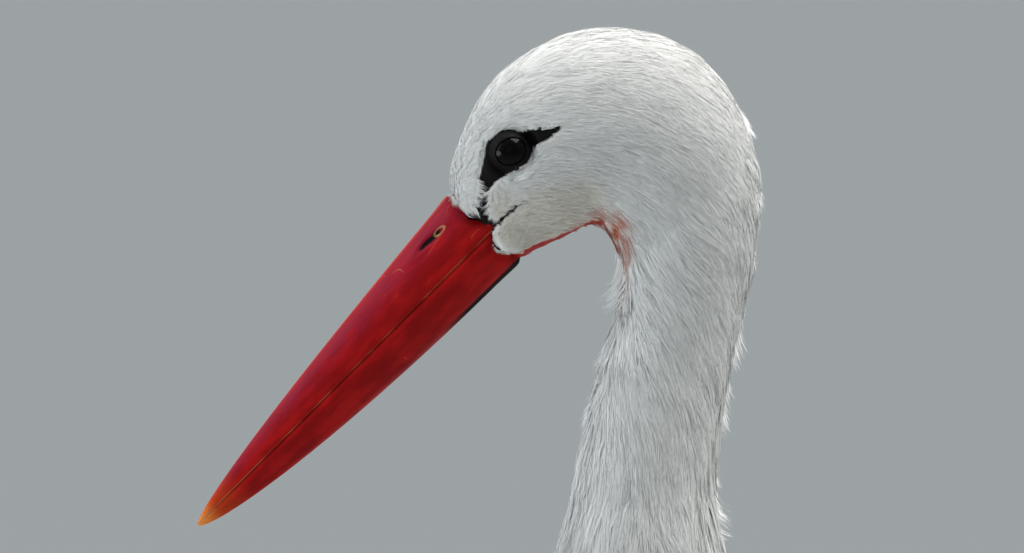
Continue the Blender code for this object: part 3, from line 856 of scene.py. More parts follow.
CREAM_STROKE = ((-4.0, -22.0, 2.0), (-1.0, -34.0, 7.0), (14.0, -26.0, 8.0), (30.0, -18.0, 3.0))


def markings(points, kinds):
    """How much of each marking lies at each place, from 0 to 1."""
    seen = eye_frame(points)
    on_head = np.isin(kinds, ("head", "neck_upper", "eye"))
    bare = np.min([stroke(seen, corners) for corners in BARE_STROKES], axis=0)
    marks = {
        "bare": 1 - ramp(bare, -0.0003, 0.0003),
        "gape": 1 - ramp(stroke(seen, GAPE_STROKE), -0.0002, 0.0004),
        "rim": 1 - ramp(stroke(seen, LOBE_RIM), -0.0002, 0.0004),
        "horn": 1 - ramp(stroke(seen, HORN_WEDGE), -0.0003, 0.0003),
        "chin": 1 - ramp(stroke(seen, CHIN_STROKE), -0.0004, 0.0010),
        "throat": 1 - ramp(stroke(seen, THROAT_STROKE), -0.0030, 0.0055),
        "cream": 1 - ramp(stroke(seen, CREAM_STROKE), -0.0040, 0.0100),
    }
    return {name: mark * on_head for name, mark in marks.items()}


# The folded wing's own measure: its two edges in the side view as Bezier curves from the
# wrist (0) to the tip (1), in metres from the tip, and the share from the lower to the upper.
WING_TOP = ((-0.554, 0.260), (-0.414, 0.344), (-0.254, 0.204), (-0.004, 0.004))
WING_BOTTOM = ((-0.569, 0.232), (-0.542, 0.107), (-0.324, 0.044), (-0.012, -0.004))


def bezier(corners, t):
    """Places on a Bezier curve of four corners in the side view, measured from the wing's tip."""
    t = np.asarray(t, float)[..., None]
    one, two, three, four = (np.array((x, 0.0, z)) for x, z in corners)
    return (wing_tip + one * (1 - t) ** 3 + two * 3 * t * (1 - t) ** 2
            + three * 3 * t * t * (1 - t) + four * t ** 3)


def wing_place(along, share):
    """The side view's x and z at a share along the wing and a share up across it."""
    low, high = bezier(WING_BOTTOM, along), bezier(WING_TOP, along)
    return low + np.asarray(share, float)[..., None] * (high - low)


def wing_shares(points):
    """How far along the wing, and how far up across it, each point is."""
    along, share = np.full((2, len(points)), 0.5)
    for _ in range(9):
        here = wing_place(along, share)
        ahead = (wing_place(along + 0.001, share) - here) / 0.001
        above = (wing_place(along, share + 0.001) - here) / 0.001
        miss = points - here
        area = ahead[:, 0] * above[:, 2] - ahead[:, 2] * above[:, 0]
        step = (miss[:, 0] * above[:, 2] - miss[:, 2] * above[:, 0]) / area
        rise = (ahead[:, 0] * miss[:, 2] - ahead[:, 2] * miss[:, 0]) / area
        along = np.clip(along + step, -0.1, 1.1)
        share = np.clip(share + rise, -1, 2)
    return along, share


def flight_black(points, kinds):
    """How black the wing is under its feathers: behind the white coverts and scapulars."""
    along, share = wing_shares(points)
    behind = ramp(along - (0.30 + 0.21 * share), 0.0, 0.03)
    under_scapulars = ramp(share, 0.76, 0.82) * (1 - ramp(along, 0.64, 0.68))
    return behind * (1 - under_scapulars) * (kinds == "wing")


skin_kinds = kinds_at(places)
skin_kinds[np.isin(skin_kinds, LEG_KINDS) & (places[:, 2] > thigh_end + 0.004)] = "thigh"
skin_marks = markings(places, skin_kinds)
groove = 0.0009 * skin_marks["gape"] + 0.0004 * skin_marks["rim"]
places = places_of(skin.data) - normals_of(skin.data) * groove[:, None]
set_places(skin.data, places)
WHITE = np.array((0.79, 0.785, 0.765))
BLACK = np.array((0.012, 0.011, 0.013))
BED = np.array((0.74, 0.72, 0.69))
CREAM = np.array((0.74, 0.69, 0.58))
BARE_BLACK = np.array((0.0065, 0.0055, 0.0055))
HORN_RED = np.array((0.36, 0.010, 0.008))
CHIN_RED = np.array((0.36, 0.014, 0.011))
RUST = np.array((0.52, 0.125, 0.040))
LEG_RED = np.array((0.40, 0.065, 0.030))


def painted(base, colour, share):
    share = np.asarray(share)[:, None]
    return base * (1 - share) + colour * share


tone = np.tile(BED, (len(places), 1))
tone[np.isin(skin_kinds, LEG_KINDS)] = LEG_RED
tone = painted(tone, BLACK, flight_black(places, skin_kinds))
tone = painted(tone, RUST * 0.8, 0.85 * skin_marks["throat"])
tone = painted(tone, CHIN_RED, skin_marks["chin"])
tone = painted(tone, BARE_BLACK, skin_marks["bare"])
tone = painted(tone, HORN_RED, skin_marks["horn"])
tone = painted(tone, BARE_BLACK, np.maximum(skin_marks["gape"], skin_marks["rim"]))
tone = painted(tone, BARE_BLACK, skin_kinds == "eye")


def set_colour(mesh, name, colours):
    layer = mesh.color_attributes.new(name, "FLOAT_COLOR", "POINT")
    filled = np.ones((len(colours), 4), np.float32)
    filled[:, :3] = colours
    layer.data.foreach_set("color", filled.ravel())


set_colour(skin.data, "tone", tone)

# The skin is unwrapped by its own shape, and each tuft finds its root's place there.
skin.data.shade_smooth()
select_only(skin)
bpy.ops.object.mode_set(mode="EDIT")
bpy.ops.mesh.select_all(action="SELECT")
bpy.ops.uv.smart_project(angle_limit=math.radians(66), island_margin=0.001)
bpy.ops.object.mode_set(mode="OBJECT")
skin.data.uv_layers.active.name = "OFBake"

scaly = skin.data.attributes.new("scaly", "FLOAT", "POINT")
scaly.data.foreach_set("value", np.isin(skin_kinds, LEG_KINDS).astype(np.float32))
hide, hide_shader = principled("hide", Specular_IOR_Level=0.06)
hide_tree = hide.node_tree
tones = shader_node(hide_tree, "ShaderNodeVertexColor", layer_name="tone")
scale_mask = shader_node(hide_tree, "ShaderNodeAttribute", attribute_name="scaly")
on_body = hide_tree.nodes.new("ShaderNodeTexCoord")
to_scutes = shader_node(hide_tree, "ShaderNodeMapping", Scale=(1.0, 1.0, 0.62))
scutes = shader_node(hide_tree, "ShaderNodeTexVoronoi", feature="DISTANCE_TO_EDGE", Scale=430.0,
                     Randomness=0.50)
link(hide_tree, (on_body.outputs["Object"], to_scutes.inputs["Vector"]),
     (to_scutes.outputs[0], scutes.inputs["Vector"]))
wrinkles = noise_on(hide_tree, on_body.outputs["Object"], (900, 900, 900), 4)
patches = noise_on(hide_tree, on_body.outputs["Object"], (45, 45, 30), 3)
plate = smooth_step(hide_tree, scutes.outputs["Distance"], 0.0, 0.16)
on_scales = scale_mask.outputs["Fac"]
relief = plus(hide_tree, times(hide_tree, plate, on_scales), times(hide_tree, wrinkles, 0.35))
hide_bump = shader_node(hide_tree, "ShaderNodeBump", Strength=0.55, Distance=0.0005)
seams = times(hide_tree, on_scales, minus(hide_tree, 1.0, plate))
leg_tone = mix_colour(hide_tree, times(hide_tree, seams, 0.40), tones.outputs["Color"],
                      (0.20, 0.035, 0.022))
pale = times(hide_tree, on_scales, smooth_step(hide_tree, patches, 0.48, 0.72, 0.0, 0.35))
leg_tone = mix_colour(hide_tree, pale, leg_tone, (0.52, 0.20, 0.13))
link(hide_tree, (leg_tone, hide_shader.inputs["Base Color"]),
     (smooth_step(hide_tree, wrinkles, 0.3, 0.7, 0.42, 0.60), hide_shader.inputs["Roughness"]),
     (relief, hide_bump.inputs["Height"]), (hide_bump.outputs["Normal"], hide_shader.inputs["Normal"]))
skin.data.materials.clear()
skin.data.materials.append(hide)
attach(skin, "root")
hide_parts(*FLESH_NODES)

# ----------------------------------------
# The down of the head and neck. Small soft feathers, each a tuft of fine barbs that springs
# from the skin and lies back over the next, short as velvet at the bill, long down the neck.
# ----------------------------------------
random = np.random.default_rng(7)
skin_tree = BVHTree.FromPolygons([tuple(p) for p in places],
                                 [tuple(p.vertices) for p in skin.data.polygons])
skin.data.calc_loop_triangles()
triangle_corners = read_all(skin.data.loop_triangles, "vertices", 3, int)
triangle_loops = read_all(skin.data.loop_triangles, "loops", 3, int)
skin_uv = read_all(skin.data.uv_layers["OFBake"].data, "uv", 2)
skin_normals = normals_of(skin.data)
triangle_places = places[triangle_corners]
triangle_areas = 0.5 * np.linalg.norm(
    np.cross(triangle_places[:, 1] - triangle_places[:, 0],
             triangle_places[:, 2] - triangle_places[:, 0]), axis=1)
triangle_kinds = skin_kinds[triangle_corners[:, 0]]


def thinned(points, spacing):
    """Which points to keep so that none stands nearer to another than its own spacing."""
    cell = spacing.max()
    cells = np.floor(points / cell).astype(int)
    kept, grid = [], {}
    around = [(i, j, k) for i in (-1, 0, 1) for j in (-1, 0, 1) for k in (-1, 0, 1)]
    rows = points.tolist()
    for index, (x, y, z) in enumerate(cells.tolist()):
        px, py, pz = rows[index]
        limit = spacing[index] ** 2
        free = True
        for i, j, k in around:
            for qx, qy, qz in grid.get((x + i, y + j, z + k), ()):
                if (px - qx) ** 2 + (py - qy) ** 2 + (pz - qz) ** 2 < limit:
                    free = False
                    break
            if not free:
                break
        if free:
            grid.setdefault((x, y, z), []).append((px, py, pz))
            kept.append(index)
    return np.array(kept)


def roots_on(chosen, spacing, crowding=3.0):
    """Roots spread over the chosen triangles of the skin, about one spacing apart.

    Returns their places, normals, spots on the unwrap and kinds of body part."""
    picked = np.flatnonzero(chosen)
    weights = triangle_areas[picked] / spacing(triangle_places[picked].mean(1)) ** 2
    count = int(weights.sum() * crowding)
    triangles = picked[random.choice(len(picked), count, p=weights / weights.sum())]
    one, two = random.random((2, count))
    flip = one + two > 1
    one[flip], two[flip] = 1 - one[flip], 1 - two[flip]
    shares = np.stack((1 - one - two, one, two), axis=1)[:, :, None]
    spots = (triangle_places[triangles] * shares).sum(1)
    kept = thinned(spots, spacing(spots))
    triangles, shares = triangles[kept], shares[kept]
    normals = unit((skin_normals[triangle_corners[triangles]] * shares).sum(1))
    uv = (skin_uv[triangle_loops[triangles]] * shares).sum(1)
    return spots[kept], normals, uv, triangle_kinds[triangles]


def laid(vectors, normals):
    """Vectors pressed flat on the surface, at unit length."""
    return unit(vectors - (vectors * normals).sum(1)[:, None] * normals)


def walked(spots, normals, kinds, lengths, swing):
    """Walks from each root along the lie of the coat, in two halves of its length."""
    ways = laid(lie(spots, kinds), normals)
    ways = unit(ways + np.cross(normals, ways) * np.tan(swing)[:, None])
    path, path_normals = [spots], [normals]
    for _ in range(2):
        ahead = path[-1] + ways * lengths[:, None] / 2
        found, _, faces = nearest_on(skin_tree, ahead)
        facing = unit(averaged_normals(faces))
        turned = laid(lie(found, kinds), facing)
        ways = unit(laid(ways, facing) + 0.5 * turned)
        path.append(found)
        path_normals.append(facing)
    return path, path_normals


face_normals = np.array([polygon.normal for polygon in skin.data.polygons])
face_corner = np.array([polygon.vertices[0] for polygon in skin.data.polygons])
face_loop = np.array([polygon.loop_start for polygon in skin.data.polygons])
OWN_SHADING = 0.22           # share of a barb's own normal, the rest being the coat's


def averaged_normals(faces):
    """Smooth normals at these faces of the skin."""
    return face_normals[faces] * 0.3 + skin_normals[face_corner[faces]] * 0.7


def through_three(rows, u):
    """The place at u on the smooth curve through the start, middle and end of each path."""
    one = (1 - u) * (1 - 2 * u)
    two = 4 * u * (1 - u)
    three = u * (2 * u - 1)
    return (rows[0][:, None, None] * one[..., None] + rows[1][:, None, None] * two[..., None]
            + rows[2][:, None, None] * three[..., None])


def along_three(rows, u):
    """The way ahead at u on that curve."""
    return (rows[0][:, None, None] * (4 * u - 3)[..., None]
            + rows[1][:, None, None] * (4 - 8 * u)[..., None]
            + rows[2][:, None, None] * (4 * u - 1)[..., None])


def mesh_of(name, corners, faces, colours, uv, material, ages, facing):
    """A mesh object from arrays of corners and of faces with the same number of sides.

    Barbs and vanes are shaded partly as the surface under them, which softens them."""
    mesh = bpy.data.meshes.new(name)
    mesh.vertices.add(len(corners))
    mesh.vertices.foreach_set("co", corners.ravel())
    order = np.concatenate([block.ravel() for block in faces])
    mesh.loops.add(len(order))
    mesh.loops.foreach_set("vertex_index", order)
    sizes = np.concatenate([np.full(len(block), block.shape[1]) for block in faces])
    mesh.polygons.add(len(sizes))
    mesh.polygons.foreach_set("loop_start", np.concatenate(([0], np.cumsum(sizes)[:-1])))
    mesh.update(calc_edges=True)
    layer = mesh.uv_layers.new(name="OFBake")
    layer.data.foreach_set("uv", uv[order].ravel())
    set_colour(mesh, "tone", colours)
    age = mesh.attributes.new("along", "FLOAT", "POINT")
    age.data.foreach_set("value", ages.astype(np.float32))
    mesh.materials.append(material)
    mesh.shade_smooth()
    own = normals_of(mesh)
    own *= np.where((own * facing).sum(1) < 0, -1, 1)[:, None]
    shared = own * OWN_SHADING + facing * (1 - OWN_SHADING)
    mesh.normals_split_custom_set_from_vertices(unit(shared))
    made = bpy.data.objects.new(name, mesh)
    bpy.context.scene.collection.objects.link(made)
    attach(made, "root")
    return made


PATCH = 0.003                # size of a tuft's patch on the unwrap


def tufts(name, path, normals, uv, colours, *, barbs, rows, width, barb_width, root_height,
          tip_height, fan, ragged=0.25, roll=0.5, wave=0.10):
    """White tufts of flat tapering barbs, as one mesh.

    width is a tuft's at its root, fan how many times as wide it is at its tip, and the
    heights are those over the skin. Each is one value, or one for each tuft."""
    count = len(path[0])

    def each(value):
        return np.broadcast_to(np.asarray(value, float), (count,))[:, None, None]

    across = np.linspace(-1, 1, barbs)[None, :] + random.normal(0, 0.6 / barbs, (count, barbs))
    reach = 1 - ragged * random.random((count, barbs)) - 0.12 * across ** 2
    u = np.linspace(0, 1, rows + 1)[None, None, :]
    here = reach[..., None] * u
    middle = through_three(path, here)
    ahead = unit(along_three(path, here))
    up = unit(through_three(normals, here))
    side = unit(np.cross(ahead, up))
    sway = wave * np.sin(3.0 * u + random.random((count, barbs, 1)) * 6.3) * u
    out = each(width) * (across[..., None] * (1 + (each(fan) - 1) * u) + sway) / 2
    lift = random.normal(0, 0.07, (count, barbs, 1))
    rise = each(root_height) + (each(tip_height) - each(root_height)) * (
        np.sin(np.minimum(u * 1.25, 1) * math.pi / 2) + lift * u)
    line = middle + side * out[..., None] + up * rise[..., None]
    turn = random.normal(0, roll, (count, barbs, 1, 1))
    flat = side * np.cos(turn) + up * np.sin(turn)
    half = (each(barb_width) * (1 - u) ** 0.55 * (0.75 + 0.5 * random.random((count, barbs, 1)))
            / 2)[..., None]
    edges_of_barb = np.stack((line - flat * half, line + flat * half), axis=3)[:, :, :-1]
    tip = line[:, :, -1:]
    corners = np.concatenate((edges_of_barb.reshape(count, barbs, rows * 2, 3), tip), axis=2)
    per_barb = rows * 2 + 1
    starts = np.arange(count * barbs)[:, None] * per_barb
    quads = np.concatenate([starts + np.array((2 * k, 2 * k + 1, 2 * k + 3, 2 * k + 2))
                            for k in range(rows - 1)])
    ends = starts + np.array((2 * rows - 2, 2 * rows - 1, 2 * rows))
    ages = np.concatenate((np.repeat(np.linspace(0, 1, rows + 1)[:-1], 2), (1.0,)))
    shades = np.repeat(colours, barbs * per_barb, axis=0)
    shades *= np.repeat(1 + 0.05 * random.normal(0, 1, (count * barbs, 1)), per_barb, axis=0)
    patch = np.empty((count, barbs, per_barb, 2))
    patch[..., 0] = across[..., None] * PATCH * 0.4
    patch[..., 1] = (ages - 0.5) * PATCH * 0.8
    patch += uv[:, None, None]
    outward = np.concatenate((np.repeat(up[:, :, :-1], 2, axis=2), up[:, :, -1:]), axis=2)
    made = mesh_of(name, corners.reshape(-1, 3), [quads, ends], np.clip(shades, 0, 0.9),
                   patch.reshape(-1, 2), white_down, np.tile(ages, count * barbs),
                   outward.reshape(-1, 3))


def noise_at(points, size, seed):
    """A smooth random field over space, from -1 to 1, whose waves are this size."""
    waves = np.random.default_rng(seed)
    total = np.zeros(len(points))
    for _ in range(7):
        way = unit(waves.normal(0, 1, 3)) * (2 * math.pi / size) * waves.uniform(0.6, 1.5)
        total += np.sin(points @ way + waves.uniform(0, 6.3))
    return total / 3.2


white_down, down_shader = principled("white_down", Roughness=0.75, Specular_IOR_Level=0.25)
down_tones = shader_node(white_down.node_tree, "ShaderNodeVertexColor", layer_name="tone")
white_down.node_tree.links.new(down_tones.outputs["Color"], down_shader.inputs["Base Color"])

FACE_LENGTH = 0.038          # the head's coat is cut in two this far behind the bill


def behind_bill(points):
    """How far each point is behind the root of the bill."""
    return (points - bill_plane[0]) @ mouth_way


def head_spacing(points):
    """Tufts stand closest at the bill and wider apart towards the neck."""
    return 0.00095 + 0.00055 * ramp(behind_bill(points), 0.004, 0.075)


def kept_clear(points, kinds):
    """How much each place belongs to bare skin or horn that no feather may cross."""
    marks = markings(points, kinds)
    return np.maximum.reduce([marks[name] for name in ("bare", "gape", "rim", "horn")]
                             + [0.6 * marks["chin"]])


def coat_colour(points, marks, seed):
    """White, creamier on the jaw, rusty in the throat, and a little uneven."""
    count = len(points)
    colours = np.tile(WHITE, (count, 1))
    colours = painted(colours, CREAM, 0.75 * marks["cream"])
    colours = colours * (1 + 0.03 * noise_at(points, 0.02, seed))[:, None]
    strong = np.where(random.random(count) < 0.55, 1.0, 0.25)
    colours = painted(colours, RUST, marks["throat"] * strong)
    return painted(colours, CHIN_RED, marks["chin"] * (random.random(count) < 0.6))


def evenly(spacing):
    """The same spacing everywhere."""
    return lambda points: np.full(len(points), spacing)


def coat(name, path, normals, uv, colours, parts=None, **shape):
    """The soft feathers of both sides, as a piece for each side and each of these parts."""
    for side, sign in SIDES.items():
        for part, chosen in (parts or {"": True}).items():
            mine = (path[0][:, 1] * sign > 0) & chosen
            own = {key: value[mine] if np.ndim(value) else value for key, value in shape.items()}
            tufts(f"{name}_{side}{part}", [p[mine] for p in path], [n[mine] for n in normals],
                  uv[mine], colours[mine], **own)


head_area = triangle_kinds == "head"
spots, normals, uv, kinds = roots_on(head_area, head_spacing)
marks = markings(spots, kinds)
keep = (kept_clear(spots, kinds) < 0.45) | ((marks["chin"] > 0.7) & (random.random(len(spots)) < 0.10))
spots, normals, uv, kinds = spots[keep], normals[keep], uv[keep], kinds[keep]
lengths = 0.0038 + 0.0075 * ramp(behind_bill(spots), 0.0, 0.070)
swing = 0.20 * noise_at(spots, 0.012, 1) + random.normal(0, 0.09, len(spots))
path, path_normals = walked(spots, normals, kinds, lengths, swing)
for _ in range(3):                       # a tuft that would cross bare skin is cut short
    lengths = np.where(kept_clear(path[2], kinds) > 0.4, lengths * 0.6, lengths)
    path, path_normals = walked(spots, normals, kinds, lengths, swing)
colours = coat_colour(path[1], markings(path[1], kinds), 3)
heights = COAT_DEPTH["head"] * (1 + 0.10 * noise_at(spots, 0.009, 5))
heights *= 0.3 + 0.7 * ramp(lengths, 0.0, 0.0040)
heights *= 0.6 + 0.4 * ramp(behind_bill(spots), 0.004, 0.030)
in_front = behind_bill(spots) < FACE_LENGTH
coat("down_head", path, path_normals, uv, colours, {"_front": in_front, "_back": ~in_front},
     barbs=9, rows=3, width=np.clip(lengths * 0.32, 0.0012, 0.0034), barb_width=0.00027,
     root_height=-0.0002, tip_height=heights, fan=1.2, roll=0.35)

neck_area = np.isin(triangle_kinds, ("neck_upper", "neck_middle"))
spots, normals, uv, kinds = roots_on(neck_area, evenly(0.0019))
swing = 0.20 * noise_at(spots, 0.022, 11) + random.normal(0, 0.09, len(spots))
down_neck = ramp(SEAM_PLANES[1][0][2] - spots[:, 2], -0.02, 0.10)
lengths = (0.013 + 0.010 * down_neck) * random.uniform(0.8, 1.2, len(spots))
path, path_normals = walked(spots, normals, kinds, lengths, swing)
colours = coat_colour(path[1], markings(path[1], kinds), 13)
high = kinds == "neck_upper"
heights = np.where(high, COAT_DEPTH["neck_upper"], COAT_DEPTH["neck_middle"])
heights = heights * (1 + 0.2 * noise_at(spots, 0.012, 15))
coat("down_neck", path, path_normals, uv, colours, {"_upper": high, "_lower": ~high}, barbs=12,
     rows=4, width=0.0046, barb_width=0.00034, root_height=-0.0002, tip_height=heights,
     fan=0.75, roll=0.35)

# ----------------------------------------
# The fringe of the face. Single white barbs that reach over the horn at the root of the bill
# and over the bare black skin in front of the eye, and the loose tufts of the throat and nape.
# ----------------------------------------
ground = bmesh.new()
for name in ("skin", "bill_upper_sheath", "bill_lower_sheath"):
    ground.from_mesh(bpy.data.objects[name].data)
face_tree = BVHTree.FromBMesh(ground)
ground.free()

# Rows of barbs: the line of their roots and the way that they point, in millimetres behind
# and above the eye, then how many, their length, how deep the row is and how far they rise.
FRINGE_ROWS = (
    (((-13.6, -10.6), (-13.4, -14.2), (-14.2, -18.0), (-16.4, -21.8)), (0.93, -0.36), 24, 6.4, 1.0, 0.7),
    (((-21.8, -20.4), (-18.2, -22.2), (-13.6, -22.8)), (0.46, -0.90), 44, 5.0, 1.2, 0.6),
    (((-23.4, -14.6), (-23.2, -18.6), (-21.8, -21.0)), (0.10, -1.0), 60, 3.2, 1.2, 0.4),
    (((-3.6, -11.2), (-5.6, -12.8), (-7.2, -15.4)), (-0.92, -0.25), 50, 2.0, 1.4, 0.5),
    (((-8.0, -15.4), (-8.0, -19.4), (-6.8, -24.0)), (-0.56, -0.83), 22, 6.2, 1.0, 0.7),
    (((-8.4, -22.6), (-6.6, -24.4), (-4.2, -25.4)), (-0.34, -0.94), 24, 5.0, 1.0, 0.6),
    (((-5.0, -29.8), (-6.6, -33.0), (-6.9, -36.4)), (-0.85, -0.50), 80, 2.0, 1.2, 0.5),
    (((-6.9, -36.0), (-6.2, -38.4), (-4.8, -39.8)), (-0.55, -0.60), 60, 1.5, 1.2, 0.4),
    (((-5.8, -33.8), (-4.6, -36.4), (-2.4, -38.2)), (-0.60, -0.78), 110, 3.0, 1.4, 0.7),
    (((-3.4, -37.6), (-0.4, -38.9), (4.6, -38.8)), (0.20, -0.96), 110, 2.4, 1.2, 0.7),
    (((-4.8, -39.8), (-1.2, -40.6), (4.4, -40.2)), (0.92, -0.30), 60, 1.6, 1.0, 0.4),
    (((-3.4, 9.3), (1.0, 9.2), (5.0, 9.4)), (0.78, -0.62), 60, 2.6, 1.0, 0.8),
    (((7.0, 11.0), (12.0, 12.3), (18.0, 13.2)), (0.94, -0.30), 40, 2.2, 1.0, 0.5),
    (((-12.4, 5.2), (-13.4, -2.0), (-14.2, -8.6)), (0.35, -0.94), 70, 2.0, 0.9, 0.3),
    (((10.4, -2.4), (13.4, 1.2), (18.4, 4.6)), (0.50, 0.86), 50, 2.0, 1.0, 0.4),
)


def from_seen(seen, sign, tree):
    """The surface at places given behind and above the eye, on one side of the bird."""
    found = np.empty((len(seen), 3))
    facing = np.empty((len(seen), 3))
    for i, (behind, above) in enumerate(seen):
        start = (left_eye.x + behind, 0.2 * sign, left_eye.z + above)
        hit, normal, _, _ = tree.ray_cast(start, (0, -sign, 0))
        if hit is None:
            hit, normal, _, _ = tree.find_nearest((start[0], 0.008 * sign, start[2]))
        found[i], facing[i] = hit, normal
    return found, facing


def along_corners(corners, shares):
    """Places at these shares of the length of a line through corners."""
    corners = np.array(corners)
    lengths = np.concatenate(([0], np.cumsum(np.linalg.norm(np.diff(corners, axis=0), axis=1))))
    at = shares * lengths[-1]
    return np.stack([np.interp(at, lengths, corners[:, axis]) for axis in (0, 1)], axis=1)


for side, sign in SIDES.items():
    rows_made = []
    for corners, way, count, length, depth, rise in FRINGE_ROWS:
        seen = along_corners(corners, (np.arange(count) + random.random(count)) / count)
        seen = seen - np.array(way) * depth * random.uniform(0, 1, (count, 1))
        seen = (seen + random.normal(0, 0.15, seen.shape)) / 1000
        spots, normals = from_seen(seen, sign, face_tree)
        turn = math.atan2(way[1], way[0]) + random.normal(0, 0.26, count)
        ways = np.stack((np.cos(turn), np.zeros(count), np.sin(turn)), axis=1)
        reach = length / 1000 * random.uniform(0.7, 1.25, count)
        path, path_normals = [spots], [normals]
        for _ in range(2):
            ahead = path[-1] + laid(ways, path_normals[-1]) * reach[:, None] / 2
            found, facing, _ = nearest_on(face_tree, ahead)
            path.append(found)
            path_normals.append(facing)
        rows_made.append((path, path_normals, np.full(count, rise / 1000)))
    path = [np.concatenate([row[0][k] for row in rows_made]) for k in range(3)]
    path_normals = [np.concatenate([row[1][k] for row in rows_made]) for k in range(3)]
    rise = np.concatenate([row[2] for row in rows_made])
    _, _, faces = nearest_on(skin_tree, path[0])
    tufts(f"face_fringe_{side}", path, path_normals, skin_uv[face_loop[faces]],
          np.tile(WHITE * (1.0, 0.985, 0.96), (len(rise), 1)), barbs=3, rows=4, width=0.0005,
          barb_width=0.00024, root_height=0.0003, tip_height=rise, fan=1.9, roll=0.3, ragged=0.4)

# Loose tufts that stand off the outline: millimetres behind and above the eye where each
# starts, its length, how far its tip stands off, and how wide it is.
LOOSE_TUFTS = (
    (41.0, -46.0, 20.0, 9.5, 6.0), (42.0, -51.0, 17.0, 7.5, 5.0),
    (95.5, -70.0, 16.0, 5.0, 6.0), (94.0, -77.0, 13.0, 4.5, 5.0), (92.5, -92.0, 16.0, 5.0, 6.0),
    (91.0, -101.0, 13.0, 4.0, 5.0), (88.5, -106.0, 12.0, 4.5, 4.0), (86.0, -122.0, 14.0, 3.0, 4.0),
    (88.0, -146.0, 14.0, 5.0, 6.0), (90.0, -137.0, 16.0, 6.0, 6.0), (93.0, 15.0, 12.0, 1.6, 3.0),
    (98.0, -14.0, 14.0, 1.8, 3.0), (97.0, -36.0, 14.0, 1.8, 3.0),
    (36.0, -76.0, 12.0, 2.5, 4.0), (30.0, -98.0, 12.0, 2.5, 4.0),
)
loose = np.array(LOOSE_TUFTS) / 1000
starts = np.repeat(loose, 7, axis=0)
starts[:, :2] += random.normal(0, 0.0020, (len(starts), 2))
outside = np.stack((starts[:, 0] + left_eye.x, random.normal(0, 0.004, len(starts)),
                    starts[:, 1] + left_eye.z), axis=1)
spots, _, faces = nearest_on(skin_tree, outside)
normals = unit(averaged_normals(faces))
uv = skin_uv[face_loop[faces]]
kinds = kinds_at(spots)
lengths = starts[:, 2] * random.uniform(0.7, 1.1, len(starts))
path, path_normals = walked(spots, normals, kinds, lengths, random.normal(0, 0.15, len(starts)))
cover = np.array([COAT_DEPTH[kind] for kind in kinds])[:, None]
standing = starts[:, 3:4] * random.uniform(0.5, 1.1, (len(starts), 1)) + cover
path[1] = path[1] + path_normals[1] * standing * 0.30
path[2] = path[2] + path_normals[2] * standing
# Each tuft fans out in the side view and faces outward; those of the nape also face the sky.
at_nape = starts[:, :1] > 0.060
own_side = np.where(spots[:, 1:2] > 0, 1.0, -1.0)
tilt = np.concatenate((np.zeros_like(own_side), own_side, np.where(at_nape, 0.9, 0.1)), axis=1)
path_normals = [unit(row * np.where(at_nape, 0.4, 0.8) + tilt) for row in path_normals]
# The loose tufts are painted a little whiter than the rest of the coat, a painted glow for the light
# that shines through them from behind.
tufts("loose_tufts", path, path_normals, uv, np.tile(WHITE * 1.08, (len(spots), 1)), barbs=10,
      rows=4, width=starts[:, 4] * 0.7, barb_width=0.00052, root_height=0.0006,
      tip_height=0.0012, fan=1.5, roll=0.5, ragged=0.6, wave=0.22)

# ----------------------------------------
# The plumage of the body. Soft white feathers overlap like thatch over the trunk and the
# thighs, closest on the breast; long pointed hackles hang over it from the lower neck.
# ----------------------------------------
def body_spacing(points):
    """Feathers stand closer on the breast and thighs than on the back and flanks."""
    back = ramp(points[:, 0], -0.17, 0.03)
    low = ramp(points[:, 2], thigh_end, thigh_end + 0.10)
    return (0.0072 + 0.0032 * back) * (0.75 + 0.25 * low)


# Hackles: they start on the lower neck and hang in long soft points over the breast.
hackle_area = triangle_kinds == "neck_lower"
spots, normals, uv, kinds = roots_on(hackle_area, evenly(0.0042))
swing = 0.16 * noise_at(spots, 0.05, 21) + random.normal(0, 0.08, len(spots))
lengths = 0.040 * random.uniform(0.8, 1.2, len(spots))
path, path_normals = walked(spots, normals, kinds, lengths, swing)
colours = np.tile(WHITE, (len(spots), 1)) * (1 + 0.03 * noise_at(spots, 0.04, 23))[:, None]
coat("hackles", path, path_normals, uv, colours, barbs=20, rows=4, width=0.0100,
     barb_width=0.00065, root_height=0.0, tip_height=0.0050, fan=0.5, ragged=0.35, roll=0.35)

# Contour feathers: short, soft and overlapping, with loose barbs that hide where each ends.
body_area = np.isin(triangle_kinds, ("trunk", "thigh", "wing"))
spots, normals, uv, kinds = roots_on(body_area, body_spacing, 2.5)
along_wing, across_wing = wing_shares(spots)
covered = (across_wing > -0.04) & (across_wing < 1.05) & (along_wing < 1.05) & (
    along_wing > 0.24 + 0.21 * across_wing + 0.14 * ramp(across_wing, 0.72, 0.78))
black_here = (flight_black(spots, np.full(len(spots), "wing")) > 0.5) & (across_wing > -0.04)
beneath = (kinds != "wing") & (normals[:, 2] < -0.6) & (np.abs(spots[:, 1]) < 0.024) & (
    spots[:, 0] < rump[0] - 0.03)
kept = ~(covered | black_here) | beneath
spots, normals, uv, kinds = spots[kept], normals[kept], uv[kept], kinds[kept]
lengths = body_spacing(spots) * np.where(kinds == "thigh", 3.4, 3.2)
lengths *= random.uniform(0.85, 1.15, len(spots))
swing = 0.14 * noise_at(spots, 0.06, 31) + random.normal(0, 0.09, len(spots))
path, path_normals = walked(spots, normals, kinds, lengths, swing)
colours = np.tile(WHITE, (len(spots), 1)) * (1 + 0.03 * noise_at(spots, 0.05, 33))[:, None]
top = np.array([COAT_DEPTH.get(kind, 0.004) for kind in kinds])
